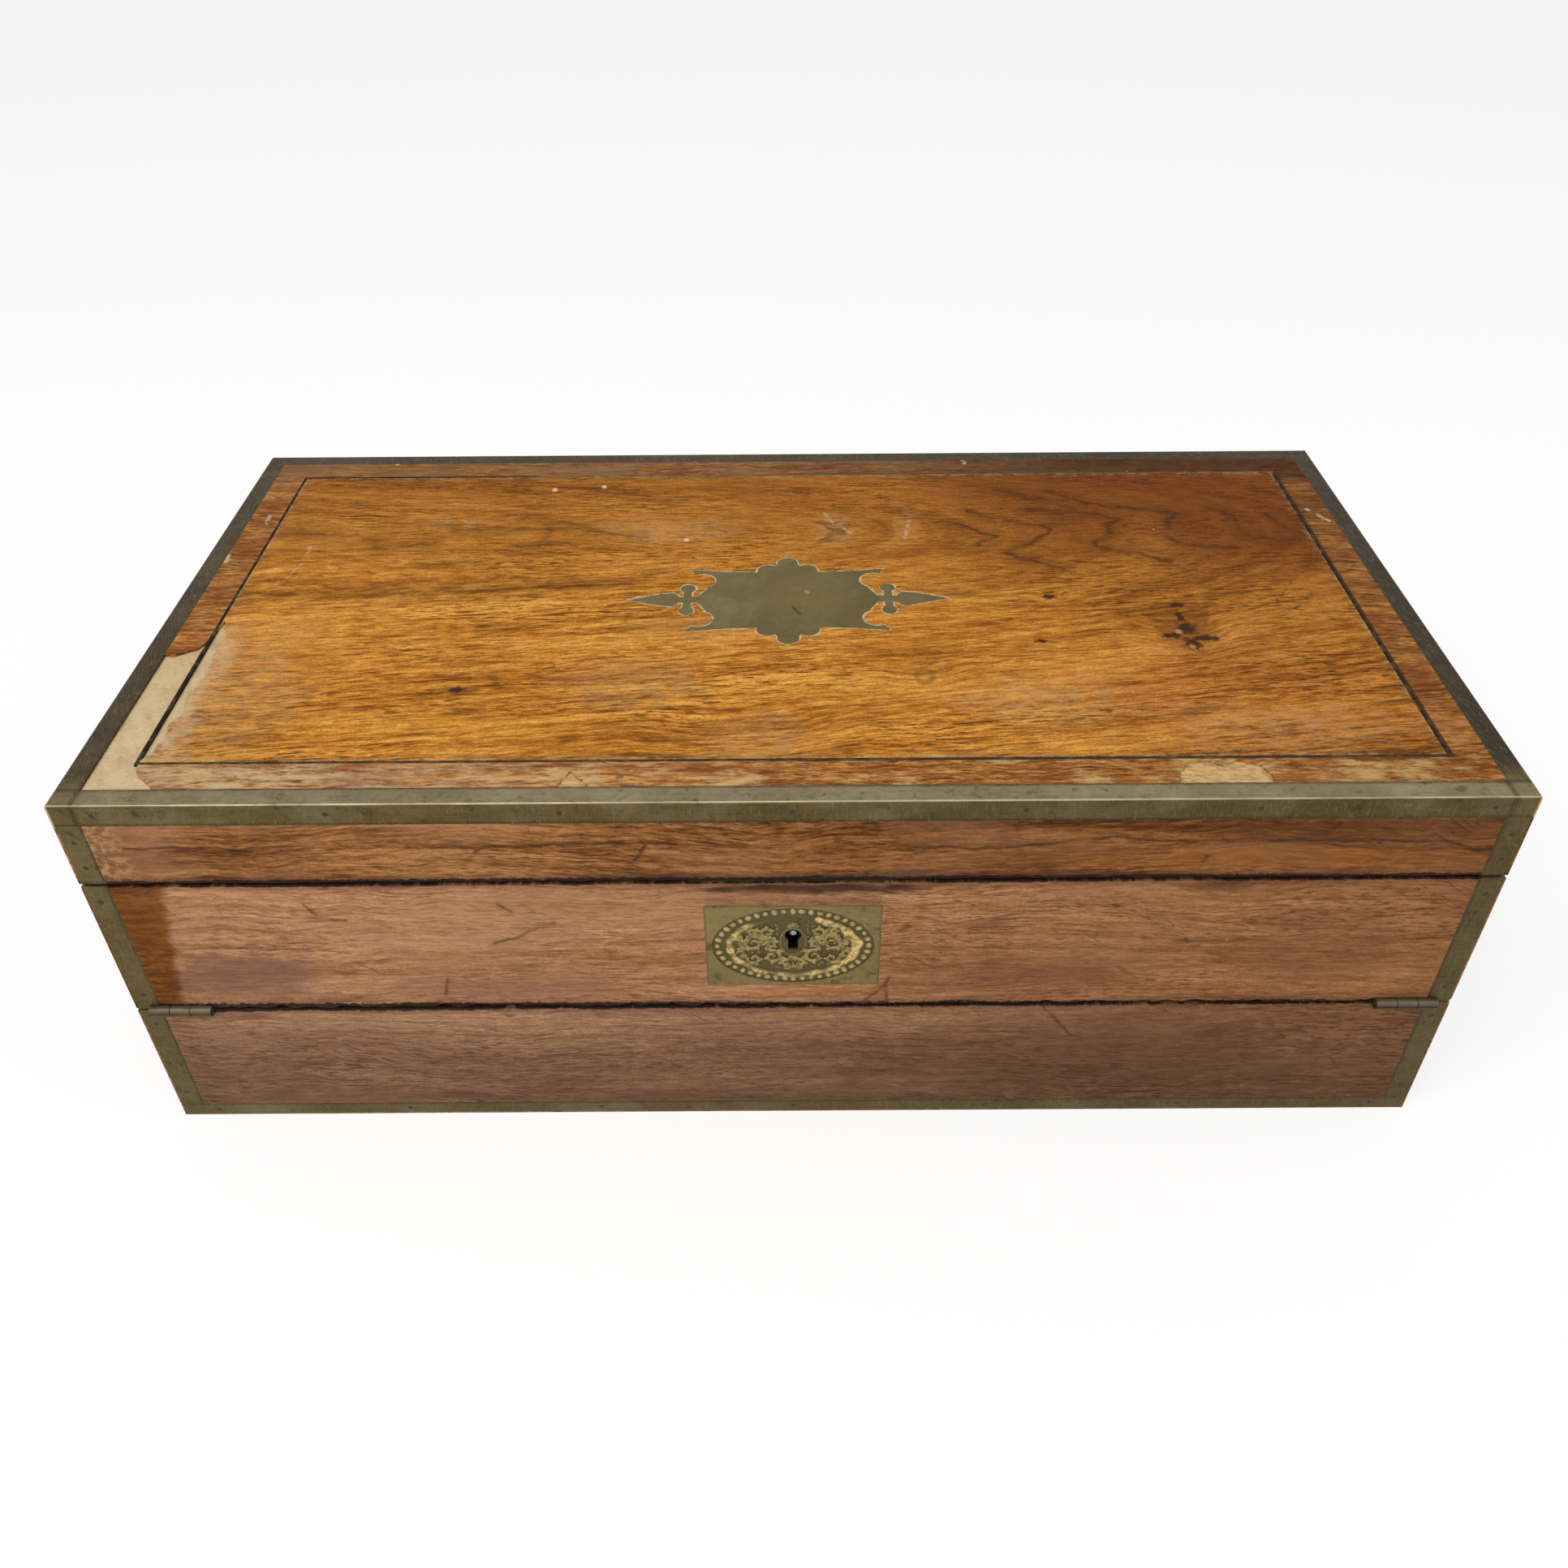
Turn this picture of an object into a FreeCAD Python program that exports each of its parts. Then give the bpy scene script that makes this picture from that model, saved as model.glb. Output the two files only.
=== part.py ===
"""Brass-bound rosewood letter writing box with a side drawer.

The box stands on z = 0 with its keyhole side towards -Y. The lid is hinged along the back, the
middle band of the front is a flap that falls forward on two small hinges, and a drawer slides out
of the right end. Inside are a sloped writing board, a pen tray and two inkwells. Millimetres.
"""

import FreeCAD, Part
import math
import os

Vec = FreeCAD.Vector
X_AXIS, Y_AXIS, Z_AXIS = Vec(1, 0, 0), Vec(0, 1, 0), Vec(0, 0, 1)
ORIGIN = Vec(0, 0, 0)

# ---------------------------------------------------------------- driving dimensions
# Outside of the box
BOX_WIDTH = 500.0
BOX_DEPTH = 262.0
BOX_HEIGHT = 166.0
WALL = 10.0
FLAP_AXIS_HEIGHT = 64.6
SEAM_GAP = 1.0
TABLE_CLEARANCE = 0.4
FLAP_LID_GAP = 1.5
LID_REST_GAP = 0.3
FLAP_FIT = 0.5

# Boards of the case
BOTTOM_THICKNESS = 7.0
BOTTOM_RECESS = 1.5
DRAWER_BAY_HEIGHT = 38.5
DUST_BOARD_THICKNESS = 4.0
DRAWER_STILE = 12.0

# Brass strips over the edges
STRIP_THICKNESS = 1.0
LID_STRIP_TOP_LEG = 8.5
LID_STRIP_FRONT_LEG = 9.0
BOTTOM_STRIP_LEG = 7.0
CORNER_STRIP_LEG = 9.5
STRIP_ROUND = 0.7
PIN_RADIUS = 0.75
PIN_FIT = 0.12
PIN_PITCH = 78.5
PIN_FROM_END = 14.5

# Lid
LID_TOP_THICKNESS = 8.0
VENEER_THICKNESS = 1.0
STRING_INSET = 22.0
STRING_WIDTH = 1.3
CARTOUCHE_THICKNESS = 0.9
CARTOUCHE_LENGTH = 130.0
CARTOUCHE_HEIGHT = 66.0
CARTOUCHE_CENTRE = (-1.0, -2.5)
CARTOUCHE_GAP = 0.8
LINING_BOARD_THICKNESS = 2.5
LINING_FRAME_WIDTH = 14.0
LINING_FRAME_THICKNESS = 4.0
LEATHER_THICKNESS = 0.8

# Knuckle hinges
BARREL_RADIUS = 2.2
BARREL_STAND_OFF = 0.8
HINGE_PIN_RADIUS = 0.8
HINGE_PIN_FIT = 0.05
KNUCKLE_GAP = 0.3
BARREL_RELIEF = 0.4
LEAF_THICKNESS = 1.2
LEAF_LENGTH = 8.5
FLAP_HINGE_LENGTH = 23.4
FLAP_HINGE_MARGIN = 5.6
LID_HINGE_LENGTH = 50.0
LID_HINGE_SPACING = 300.0
BOARD_HINGE_LENGTH = 30.0
BOARD_HINGE_SPACING = 300.0
BOARD_BARREL_RADIUS = 1.5

# Lock in the flap
LOCK_PLATE_WIDTH = 64.0
LOCK_PLATE_HEIGHT = 41.2
LOCK_PLATE_THICKNESS = 1.2
LOCK_PLATE_BOTTOM = 76.4
OVAL_WIDTH = 56.0
OVAL_HEIGHT = 35.0
OVAL_RIM = 3.4
OVAL_RELIEF = 0.4
KEYHOLE_HEAD_RADIUS = 3.0
KEYHOLE_SLOT_WIDTH = 3.6
KEYHOLE_HEIGHT = 10.2
KEYHOLE_RISE = 5.2
LOCK_CASE_WIDTH = 64.0
LOCK_CASE_HEIGHT = 40.0
LOCK_CASE_DEPTH = 7.0
LOCK_CASE_WALL = 1.0
DRILL_PIN_RADIUS = 1.3
SELVEDGE_WIDTH = 74.0
SELVEDGE_THICKNESS = 1.2
STAPLE_SPACING = 36.0
STAPLE_THICKNESS = 3.0
STAPLE_DEPTH = 5.6
STAPLE_DROP = 10.5
STAPLE_FIT = 0.7
EYE_HEIGHT = 4.2
EYE_WIDTH = 3.2
BOLT_FIT = 0.4
BOLT_THROW = 5.0
BOLT_UPRIGHT = 4.0
BOLT_BAR_HEIGHT = 4.0
LINK_PLATE_WIDTH = 66.0
LINK_PLATE_THICKNESS = 1.2

# Drawer
DRAWER_FIT = 0.5
DRAWER_FRONT_THICKNESS = 18.0
DRAWER_LENGTH = 400.0
DRAWER_SIDE = 6.0
DRAWER_BOTTOM_THICKNESS = 4.0
DRAWER_SIDE_DROP = 3.0
LOCK_PIN_RADIUS = 1.75
LOCK_PIN_FIT = 0.2
LOCK_PIN_TRAVEL = 8.0
LOCK_PIN_INSET = 4.4
LOCK_PIN_KNOB_RADIUS = 3.4
LOCK_PIN_KNOB_HEIGHT = 7.0

# Flush handles
HANDLE_PLATE_LENGTH = 96.0
HANDLE_PLATE_HEIGHT = 31.0
HANDLE_PLATE_THICKNESS = 1.4
HANDLE_PLATE_CORNER = 5.0
HANDLE_CUP_LENGTH = 74.0
HANDLE_CUP_HEIGHT = 23.0
HANDLE_CUP_DEPTH = 7.5
HANDLE_CUP_WALL = 1.0
BAIL_RADIUS = 2.0
BAIL_SIDE_GAP = 1.2
BAIL_TOP_GAP = 1.6
BAIL_DROP = 15.0
BAIL_PIN_RADIUS = 1.0
BAIL_PIN_FIT = 0.08
BAIL_BEND = 5.0

# Writing slope
SLOPE_ANGLE = 15.5
SLOPE_FRONT_GAP = 1.2
SLOPE_SIDE_RAIL = 18.0
SLOPE_CROSS_RAIL = 10.0
SLOPE_THICKNESS = 6.0
BOARD_FIT = 0.5
BOARD_BORDER = 16.0
PEN_PARTITION_THICKNESS = 6.0
PARTITION_LIP = 2.0

# Pen section at the back
DIVIDER_THICKNESS = 4.0
SMALL_WELL_WIDTH = 52.0
CROSS_DIVIDER_THICKNESS = 3.0
LOCK_SLOT_WIDTH = 10.0
TRAY_FIT = 1.0
TRAY_HEIGHT = 22.0
TRAY_WALL = 5.0
TRAY_END = 6.0
TROUGH_DEPTH = 14.0
TRAY_BEARER_HEIGHT = 6.0
TRAY_BEARER_WIDTH = 6.0

# Inkwells
INKWELL_SIDE = 38.0
INKWELL_FIT = 2.0
INKWELL_HEIGHT = 40.0
INKWELL_CHAMFER = 3.0
INK_BORE_RADIUS = 10.0
INK_BORE_DEPTH = 32.0
COLLAR_RADIUS = 12.5
COLLAR_HEIGHT = 3.0
CAP_RADIUS = 12.5
CAP_HEIGHT = 5.0
CAP_ROUND = 2.5
CAP_GAP = 0.3
CAP_LUG_WIDTH = 8.0
CAP_LUG_RADIUS = 1.5
CAP_LUG_OFFSET = 1.9
CAP_PIN_RADIUS = 0.7
CAP_PIN_FIT = 0.06
REST_GAP = 0.3

# Places where the old veneer has come away, as points measured from the lid's front left corner:
# x to the right and y to the back.
CORNER_LOSS = [
    (7.0, 7.0), (34.0, 8.0), (29.5, 13.0), (26.0, 15.5), (23.6, 20.0), (23.4, 24.6), (25.6, 27.0),
    (27.4, 36.0), (26.6, 46.0), (28.2, 55.0), (27.4, 66.0), (28.8, 78.0), (27.6, 90.0),
    (28.6, 101.0), (26.4, 110.0), (24.2, 115.0), (22.4, 101.0), (20.0, 95.5), (14.5, 91.5),
    (9.5, 90.5), (7.0, 91.0),
]
FRONT_LOSS = [
    (381.0, 7.0), (412.0, 7.0), (414.5, 12.0), (411.0, 18.5), (404.0, 21.2), (398.5, 18.6),
    (393.0, 20.9), (386.0, 20.2), (382.5, 15.0),
]
SMALL_LOSS = [(169.5, 7.0), (182.0, 7.0), (178.8, 11.5), (174.0, 16.8), (171.0, 13.0)]

# ---------------------------------------------------------------- worked-out places
HALF_WIDTH = BOX_WIDTH / 2
HALF_DEPTH = BOX_DEPTH / 2
INNER_X = HALF_WIDTH - WALL
INNER_Y = HALF_DEPTH - WALL
FRONT_WALL_TOP = FLAP_AXIS_HEIGHT - SEAM_GAP / 2
FLAP_BOTTOM = FLAP_AXIS_HEIGHT + SEAM_GAP / 2
FLAP_TOP = 2 * FLAP_AXIS_HEIGHT - TABLE_CLEARANCE
LID_SEAM = FLAP_TOP + FLAP_LID_GAP
CASE_TOP = LID_SEAM - LID_REST_GAP
LID_GROUND_TOP = BOX_HEIGHT - VENEER_THICKNESS
LID_WALL_TOP = LID_GROUND_TOP - LID_TOP_THICKNESS
FLOOR = BOTTOM_RECESS + BOTTOM_THICKNESS
DUST_BOARD_BOTTOM = FLOOR + DRAWER_BAY_HEIGHT
DUST_BOARD_TOP = DUST_BOARD_BOTTOM + DUST_BOARD_THICKNESS
HINGE_AXIS_Y = HALF_DEPTH + BARREL_STAND_OFF
HINGE_AXIS_LID = LID_SEAM - LID_REST_GAP / 2
DRAWER_HALF_OPENING = INNER_Y - DRAWER_STILE
INK_CELL = INKWELL_SIDE + 2 * INKWELL_FIT
INK_CELL_FRONT = INNER_Y - INK_CELL
PEN_PARTITION_BACK = INK_CELL_FRONT - CROSS_DIVIDER_THICKNESS - LOCK_SLOT_WIDTH
PEN_PARTITION_FRONT = PEN_PARTITION_BACK - PEN_PARTITION_THICKNESS
WELL_OUTER_X = INNER_X - INK_CELL - DIVIDER_THICKNESS
TRAY_CELL_HALF = WELL_OUTER_X - SMALL_WELL_WIDTH - DIVIDER_THICKNESS
SLOPE_FRONT_Y = -INNER_Y + SLOPE_FRONT_GAP
SLOPE_TAN = math.tan(math.radians(SLOPE_ANGLE))


def slope_height(y):
    """Height of the writing surface at depth y."""
    return FRONT_WALL_TOP + (y - SLOPE_FRONT_Y) * SLOPE_TAN


PARTITION_TOP = slope_height(PEN_PARTITION_FRONT) + PARTITION_LIP
BOARD_AXIS_Y = PEN_PARTITION_FRONT - SLOPE_CROSS_RAIL
BOARD_AXIS_Z = slope_height(BOARD_AXIS_Y)


# ---------------------------------------------------------------- shapes
def block(x0, x1, y0, y1, z0, z1):
    """A box between two corners."""
    return Part.makeBox(x1 - x0, y1 - y0, z1 - z0, Vec(x0, y0, z0))


def rod(centre, direction, radius, length):
    """A round bar with its middle at centre."""
    start = centre - direction * (length / 2)
    return Part.makeCylinder(radius, length, start, direction)


def plan_prism(points, z0, z1):
    """A prism standing on a plan outline of (x, y) points."""
    corners = [Vec(x, y, z0) for x, y in points]
    return Part.Face(Part.makePolygon(corners + corners[:1])).extrude(Z_AXIS * (z1 - z0))


def side_prism(points, x0, x1):
    """A prism along X with a side outline of (y, z) points."""
    corners = [Vec(x0, y, z) for y, z in points]
    return Part.Face(Part.makePolygon(corners + corners[:1])).extrude(X_AXIS * (x1 - x0))


def plan_ring(half_x, half_y, inner_x, inner_y, z0, z1):
    """A flat rectangular ring between two half sizes."""
    outer = block(-half_x, half_x, -half_y, half_y, z0, z1)
    return outer.cut([block(-inner_x, inner_x, -inner_y, inner_y, z0 - 1, z1 + 1)])


def fused(shapes):
    """One solid from shapes that meet."""
    whole = shapes[0].fuse(shapes[1:]) if len(shapes) > 1 else shapes[0]
    return whole.removeSplitter()


def less(shape, tools):
    """A shape with every tool cut out of it."""
    return shape.cut(tools)


def flipped_x(shape):
    """The mirror image on the other side of the middle plane x = 0."""
    return shape.mirror(ORIGIN, X_AXIS)


def flipped_y(shape):
    """The mirror image on the other side of the middle plane y = 0."""
    return shape.mirror(ORIGIN, Y_AXIS)


def write(node, solids):
    """Writes one node's solids as a STEP file."""
    pieces = [solid for shape in solids for solid in shape.Solids]
    for piece in pieces:
        if not piece.isValid() or piece.Volume <= 0:
            raise ValueError(f"{node} holds a solid that is not sound")
    shape = pieces[0] if len(pieces) == 1 else Part.makeCompound(pieces)
    shape.exportStep(os.path.join("parts", f"{node}.step"))
    print(f"{node}: {len(pieces)} solid(s), {shape.Volume / 1000:.2f} cm3")


# ---------------------------------------------------------------- brass strips and their pins
def edge_ring(outer_z, inward, flat_leg, upright_leg):
    """The L-shaped brass ring round a flat face at outer_z. inward is -1 below a top, +1 above a base."""
    end_z = outer_z + inward * upright_leg
    low, high = min(outer_z, end_z), max(outer_z, end_z)
    outer = block(-HALF_WIDTH, HALF_WIDTH, -HALF_DEPTH, HALF_DEPTH, low, high)
    arrises = [edge for edge in outer.Edges if edge.BoundBox.ZLength > upright_leg / 2
               or abs(edge.BoundBox.ZMin - outer_z) < STRIP_THICKNESS / 2]
    outer = outer.makeFillet(STRIP_ROUND, arrises)
    skin_x, skin_y = HALF_WIDTH - STRIP_THICKNESS, HALF_DEPTH - STRIP_THICKNESS
    core = block(-skin_x, skin_x, -skin_y, skin_y, low - 1, high + 1)
    edge_x, edge_y = HALF_WIDTH - flat_leg, HALF_DEPTH - flat_leg
    flat_z = outer_z + inward * STRIP_THICKNESS
    flat = plan_ring(skin_x, skin_y, edge_x, edge_y, min(outer_z, flat_z), max(outer_z, flat_z))
    return fused([less(outer, [core]), flat])


def mitred(ring):
    """The front, back, left and right strips of an edge ring, cut at 45 degrees at the corners."""
    reach = HALF_WIDTH - HALF_DEPTH
    front = [(-HALF_WIDTH, -HALF_DEPTH), (HALF_WIDTH, -HALF_DEPTH), (reach, 0), (-reach, 0)]
    left = [(-HALF_WIDTH, -HALF_DEPTH), (-reach, 0), (-HALF_WIDTH, HALF_DEPTH)]
    front_strip = ring.common(plan_prism(front, -1, BOX_HEIGHT + 1))
    left_strip = ring.common(plan_prism(left, -1, BOX_HEIGHT + 1))
    return [front_strip, flipped_y(front_strip), left_strip, flipped_x(left_strip)]


def corner_strip(side_x, side_y, z0, z1):
    """An upright brass angle over one corner of the box."""
    inner_x, inner_y = HALF_WIDTH - CORNER_STRIP_LEG, HALF_DEPTH - CORNER_STRIP_LEG
    skin_x, skin_y = HALF_WIDTH - STRIP_THICKNESS, HALF_DEPTH - STRIP_THICKNESS
    angle = fused([
        block(inner_x, HALF_WIDTH, skin_y, HALF_DEPTH, z0, z1),
        block(skin_x, HALF_WIDTH, inner_y, HALF_DEPTH, z0, z1),
    ])
    arris = [edge for edge in angle.Edges if edge.BoundBox.XMin > HALF_WIDTH - STRIP_ROUND / 2
             and edge.BoundBox.YMin > HALF_DEPTH - STRIP_ROUND / 2]
    angle = angle.makeFillet(STRIP_ROUND, arris)
    angle = angle if side_x > 0 else flipped_x(angle)
    return angle if side_y > 0 else flipped_y(angle)


def strip_pin(x, y, z, radius):
    """A short pin through a strip, on whichever upright face of the box the point lies."""
    on_front = abs(abs(y) - HALF_DEPTH) < abs(abs(x) - HALF_WIDTH)
    direction = Vec(0, -math.copysign(1, y), 0) if on_front else Vec(-math.copysign(1, x), 0, 0)
    return Part.makeCylinder(radius, STRIP_THICKNESS, Vec(x, y, z), direction)


def row_of_pin_points(z):
    """Evenly spaced points along the four upright faces at height z."""
    points = []
    for half, other, swap in ((HALF_WIDTH, HALF_DEPTH, False), (HALF_DEPTH, HALF_WIDTH, True)):
        run = 2 * (half - PIN_FROM_END)
        gaps = max(1, round(run / PIN_PITCH))
        for i in range(gaps + 1):
            along = -half + PIN_FROM_END + i * run / gaps
            for side in (-other, other):
                points.append((side, along, z) if swap else (along, side, z))
    return points


def corner_pin_points(side_x, side_y, z0, z1):
    """Two points on each leg of a corner strip, near its ends."""
    leg = CORNER_STRIP_LEG
    end_gap = 0.8 * leg
    return [
        point
        for z in (z0 + end_gap, z1 - end_gap)
        for point in (
            (side_x * (HALF_WIDTH - leg / 2), side_y * HALF_DEPTH, z),
            (side_x * HALF_WIDTH, side_y * (HALF_DEPTH - leg / 2), z),
        )
    ]


def pins(points):
    """The pins at those points."""
    return [strip_pin(*point, PIN_RADIUS) for point in points]


def pin_holes(points):
    """The holes that the pins fill."""
    return [strip_pin(*point, PIN_RADIUS + PIN_FIT) for point in points]


ALL_CORNERS = [(-1, -1), (1, -1), (-1, 1), (1, 1)]


# ---------------------------------------------------------------- hinges
def knuckle_hinge(length, radius, fixed_leaf, moving_leaf):
    """A three-knuckle hinge about the X axis through the origin.

    The leaves are (y0, y1, z0, z1) rectangles. The fixed leaf has the two outer knuckles.
    Returns the fixed half, the moving half, the pin and the room that the barrel needs in the wood.
    """
    third = length / 3
    half_gap = KNUCKLE_GAP / 2
    spans = [(-length / 2, -third / 2 - half_gap), (third / 2 + half_gap, length / 2)]
    middle = (-third / 2 + half_gap, third / 2 - half_gap)

    def bar(span, size, extra=0.0):
        x0, x1 = span[0] - extra, span[1] + extra
        return Part.makeCylinder(size, x1 - x0, Vec(x0, 0, 0), X_AXIS)

    def leaf(rectangle):
        return block(-length / 2, length / 2, *rectangle)

    room = radius + BARREL_RELIEF
    hole = bar((-length / 2, length / 2), HINGE_PIN_RADIUS, 1.0)
    loose_hole = bar((-length / 2, length / 2), HINGE_PIN_RADIUS + HINGE_PIN_FIT, 1.0)
    fixed = less(leaf(fixed_leaf), [bar(middle, room, KNUCKLE_GAP)])
    fixed = less(fused([fixed] + [bar(span, radius) for span in spans]), [hole])
    moving = less(leaf(moving_leaf), [bar(span, room, KNUCKLE_GAP) for span in spans])
    moving = less(fused([moving, bar(middle, radius)]), [loose_hole])
    pin = bar((-length / 2, length / 2), HINGE_PIN_RADIUS)
    return fixed, moving, pin, bar((-length / 2, length / 2), room, 0.2)


def closed_hinge(length, gap):
    """A hinge shut on itself, with its leaves running towards +Y from the barrel."""
    inner, outer = gap / 2, gap / 2 + LEAF_THICKNESS
    fixed = (0, BARREL_STAND_OFF + LEAF_LENGTH, -outer, -inner)
    moving = (0, BARREL_STAND_OFF + LEAF_LENGTH, inner, outer)
    return knuckle_hinge(length, BARREL_RADIUS, fixed, moving)


def placed(shape, x, y, z, face_front=True):
    """A closed hinge's piece moved to its axis. At the back it is turned to run towards -Y."""
    turned = shape if face_front else flipped_y(shape)
    return turned.translated(Vec(x, y, z))


def flap_hinges():
    """The flap's two small hinges: lower leaves, upper leaves, pins and barrel rooms."""
    centre = HALF_WIDTH - FLAP_HINGE_MARGIN - FLAP_HINGE_LENGTH / 2
    made = closed_hinge(FLAP_HINGE_LENGTH, SEAM_GAP)
    return [[placed(piece, x, -HINGE_AXIS_Y, FLAP_AXIS_HEIGHT) for x in (-centre, centre)]
            for piece in made]


def lid_hinges():
    """The lid's two hinges at the back."""
    made = closed_hinge(LID_HINGE_LENGTH, LID_REST_GAP)
    places = (-LID_HINGE_SPACING / 2, LID_HINGE_SPACING / 2)
    return [[placed(piece, x, HINGE_AXIS_Y, HINGE_AXIS_LID, False) for x in places]
            for piece in made]


def board_hinges():
    """The writing board's two hinges, lying open and flush in the slope."""
    length = SLOPE_CROSS_RAIL - BARREL_RELIEF
    fixed = (0, length, -LEAF_THICKNESS, 0)
    moving = (-length, 0, -LEAF_THICKNESS, 0)
    made = knuckle_hinge(BOARD_HINGE_LENGTH, BOARD_BARREL_RADIUS, fixed, moving)
    out = []
    for piece in made:
        tilted = piece.rotated(ORIGIN, X_AXIS, SLOPE_ANGLE)
        out.append([tilted.translated(Vec(x, BOARD_AXIS_Y, BOARD_AXIS_Z))
                    for x in (-BOARD_HINGE_SPACING / 2, BOARD_HINGE_SPACING / 2)])
    return out


# ---------------------------------------------------------------- flush handles
def rounded_plate(length, height, thickness, corner):
    """A plate in the plane x = 0 with round corners, growing towards -X."""
    plate = block(-thickness, 0, -length / 2, length / 2, -height / 2, height / 2)
    upright_edges = [
        edge for edge in plate.Edges
        if edge.BoundBox.XLength > thickness / 2
    ]
    return plate.makeFillet(corner, upright_edges)


def bail_top(cup_height):
    """Height of the bail's pivot above the middle of the cup."""
    return cup_height / 2 - HANDLE_CUP_WALL - BAIL_TOP_GAP - BAIL_RADIUS


def handle_cup():
    """The flush handle's dished plate, with its outer face in the plane x = 0, opening to +X."""
    plate = rounded_plate(HANDLE_PLATE_LENGTH, HANDLE_PLATE_HEIGHT, HANDLE_PLATE_THICKNESS,
                          HANDLE_PLATE_CORNER)
    cup = block(-HANDLE_CUP_DEPTH, 0, -HANDLE_CUP_LENGTH / 2, HANDLE_CUP_LENGTH / 2,
                -HANDLE_CUP_HEIGHT / 2, HANDLE_CUP_HEIGHT / 2)
    inner_y = HANDLE_CUP_LENGTH / 2 - HANDLE_CUP_WALL
    inner_z = HANDLE_CUP_HEIGHT / 2 - HANDLE_CUP_WALL
    hollow = block(-HANDLE_CUP_DEPTH + HANDLE_CUP_WALL, 1, -inner_y, inner_y, -inner_z, inner_z)
    pivot = Vec(-BAIL_RADIUS - REST_GAP, 0, bail_top(HANDLE_CUP_HEIGHT))
    bearing = rod(pivot, Y_AXIS, BAIL_PIN_RADIUS + BAIL_PIN_FIT, HANDLE_CUP_LENGTH + 2)
    return less(fused([plate, cup]), [hollow, bearing])


def handle_pocket():
    """What is cut out of the wood for a handle cup and the ends of its pins."""
    plate = rounded_plate(HANDLE_PLATE_LENGTH, HANDLE_PLATE_HEIGHT, HANDLE_PLATE_THICKNESS,
                          HANDLE_PLATE_CORNER)
    cup = block(-HANDLE_CUP_DEPTH, 1, -HANDLE_CUP_LENGTH / 2, HANDLE_CUP_LENGTH / 2,
                -HANDLE_CUP_HEIGHT / 2, HANDLE_CUP_HEIGHT / 2)
    return fused([plate, cup])


def handle_bail():
    """The swinging handle, hanging shut in its cup."""
    half = HANDLE_CUP_LENGTH / 2 - HANDLE_CUP_WALL - BAIL_SIDE_GAP - BAIL_RADIUS
    x = -BAIL_RADIUS - REST_GAP
    top = bail_top(HANDLE_CUP_HEIGHT)
    low = top - BAIL_DROP
    bend = BAIL_BEND
    diagonal = bend * (1 - math.sqrt(0.5))
    left_top, left_low = Vec(x, -half, top), Vec(x, -half, low + bend)
    right_top, right_low = Vec(x, half, top), Vec(x, half, low + bend)
    path = Part.Wire([
        Part.LineSegment(left_top, left_low).toShape(),
        Part.Arc(left_low, Vec(x, -half + diagonal, low + diagonal), Vec(x, -half + bend, low)).toShape(),
        Part.LineSegment(Vec(x, -half + bend, low), Vec(x, half - bend, low)).toShape(),
        Part.Arc(Vec(x, half - bend, low), Vec(x, half - diagonal, low + diagonal), right_low).toShape(),
        Part.LineSegment(right_low, right_top).toShape(),
    ])
    section = Part.Wire(Part.makeCircle(BAIL_RADIUS, left_top, Z_AXIS))
    bow = path.makePipeShell([section], True, False)
    knuckles = [Part.makeSphere(BAIL_RADIUS, point) for point in (left_top, right_top)]
    pin_length = 2 * (HANDLE_CUP_LENGTH / 2 - REST_GAP)
    axle = [
        Part.makeCylinder(BAIL_PIN_RADIUS, pin_length / 2 - half, Vec(x, half, top), Y_AXIS),
        Part.makeCylinder(BAIL_PIN_RADIUS, pin_length / 2 - half, Vec(x, -half, top), -Y_AXIS),
    ]
    return fused([bow] + knuckles + axle)


def on_right_face(shape, x, z):
    """A handle's piece moved out to a face at x, at height z."""
    return shape.translated(Vec(x, 0, z))


HANDLE_HEIGHT = (FLOOR + DUST_BOARD_BOTTOM) / 2


# ---------------------------------------------------------------- case
def case_pin_points():
    """Where the strips of the case are pinned."""
    points = row_of_pin_points(BOTTOM_STRIP_LEG / 2)
    for side_x, side_y in ALL_CORNERS:
        top = FRONT_WALL_TOP if side_y < 0 else CASE_TOP
        points += corner_pin_points(side_x, side_y, BOTTOM_STRIP_LEG, top)
    return points


def case_strips():
    """The mitred strips round the base and the upright strips at the corners of the case."""
    ring = edge_ring(0.0, 1, BOTTOM_STRIP_LEG, BOTTOM_STRIP_LEG)
    uprights = [
        corner_strip(side_x, side_y, BOTTOM_STRIP_LEG, FRONT_WALL_TOP if side_y < 0 else CASE_TOP)
        for side_x, side_y in ALL_CORNERS
    ]
    return ring, uprights


def drawer_lock_pin_place():
    """Plan position of the pin that locks the drawer, in the narrow slot before the right inkwell."""
    return INNER_X - LOCK_PIN_INSET, PEN_PARTITION_BACK + LOCK_SLOT_WIDTH / 2


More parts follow.
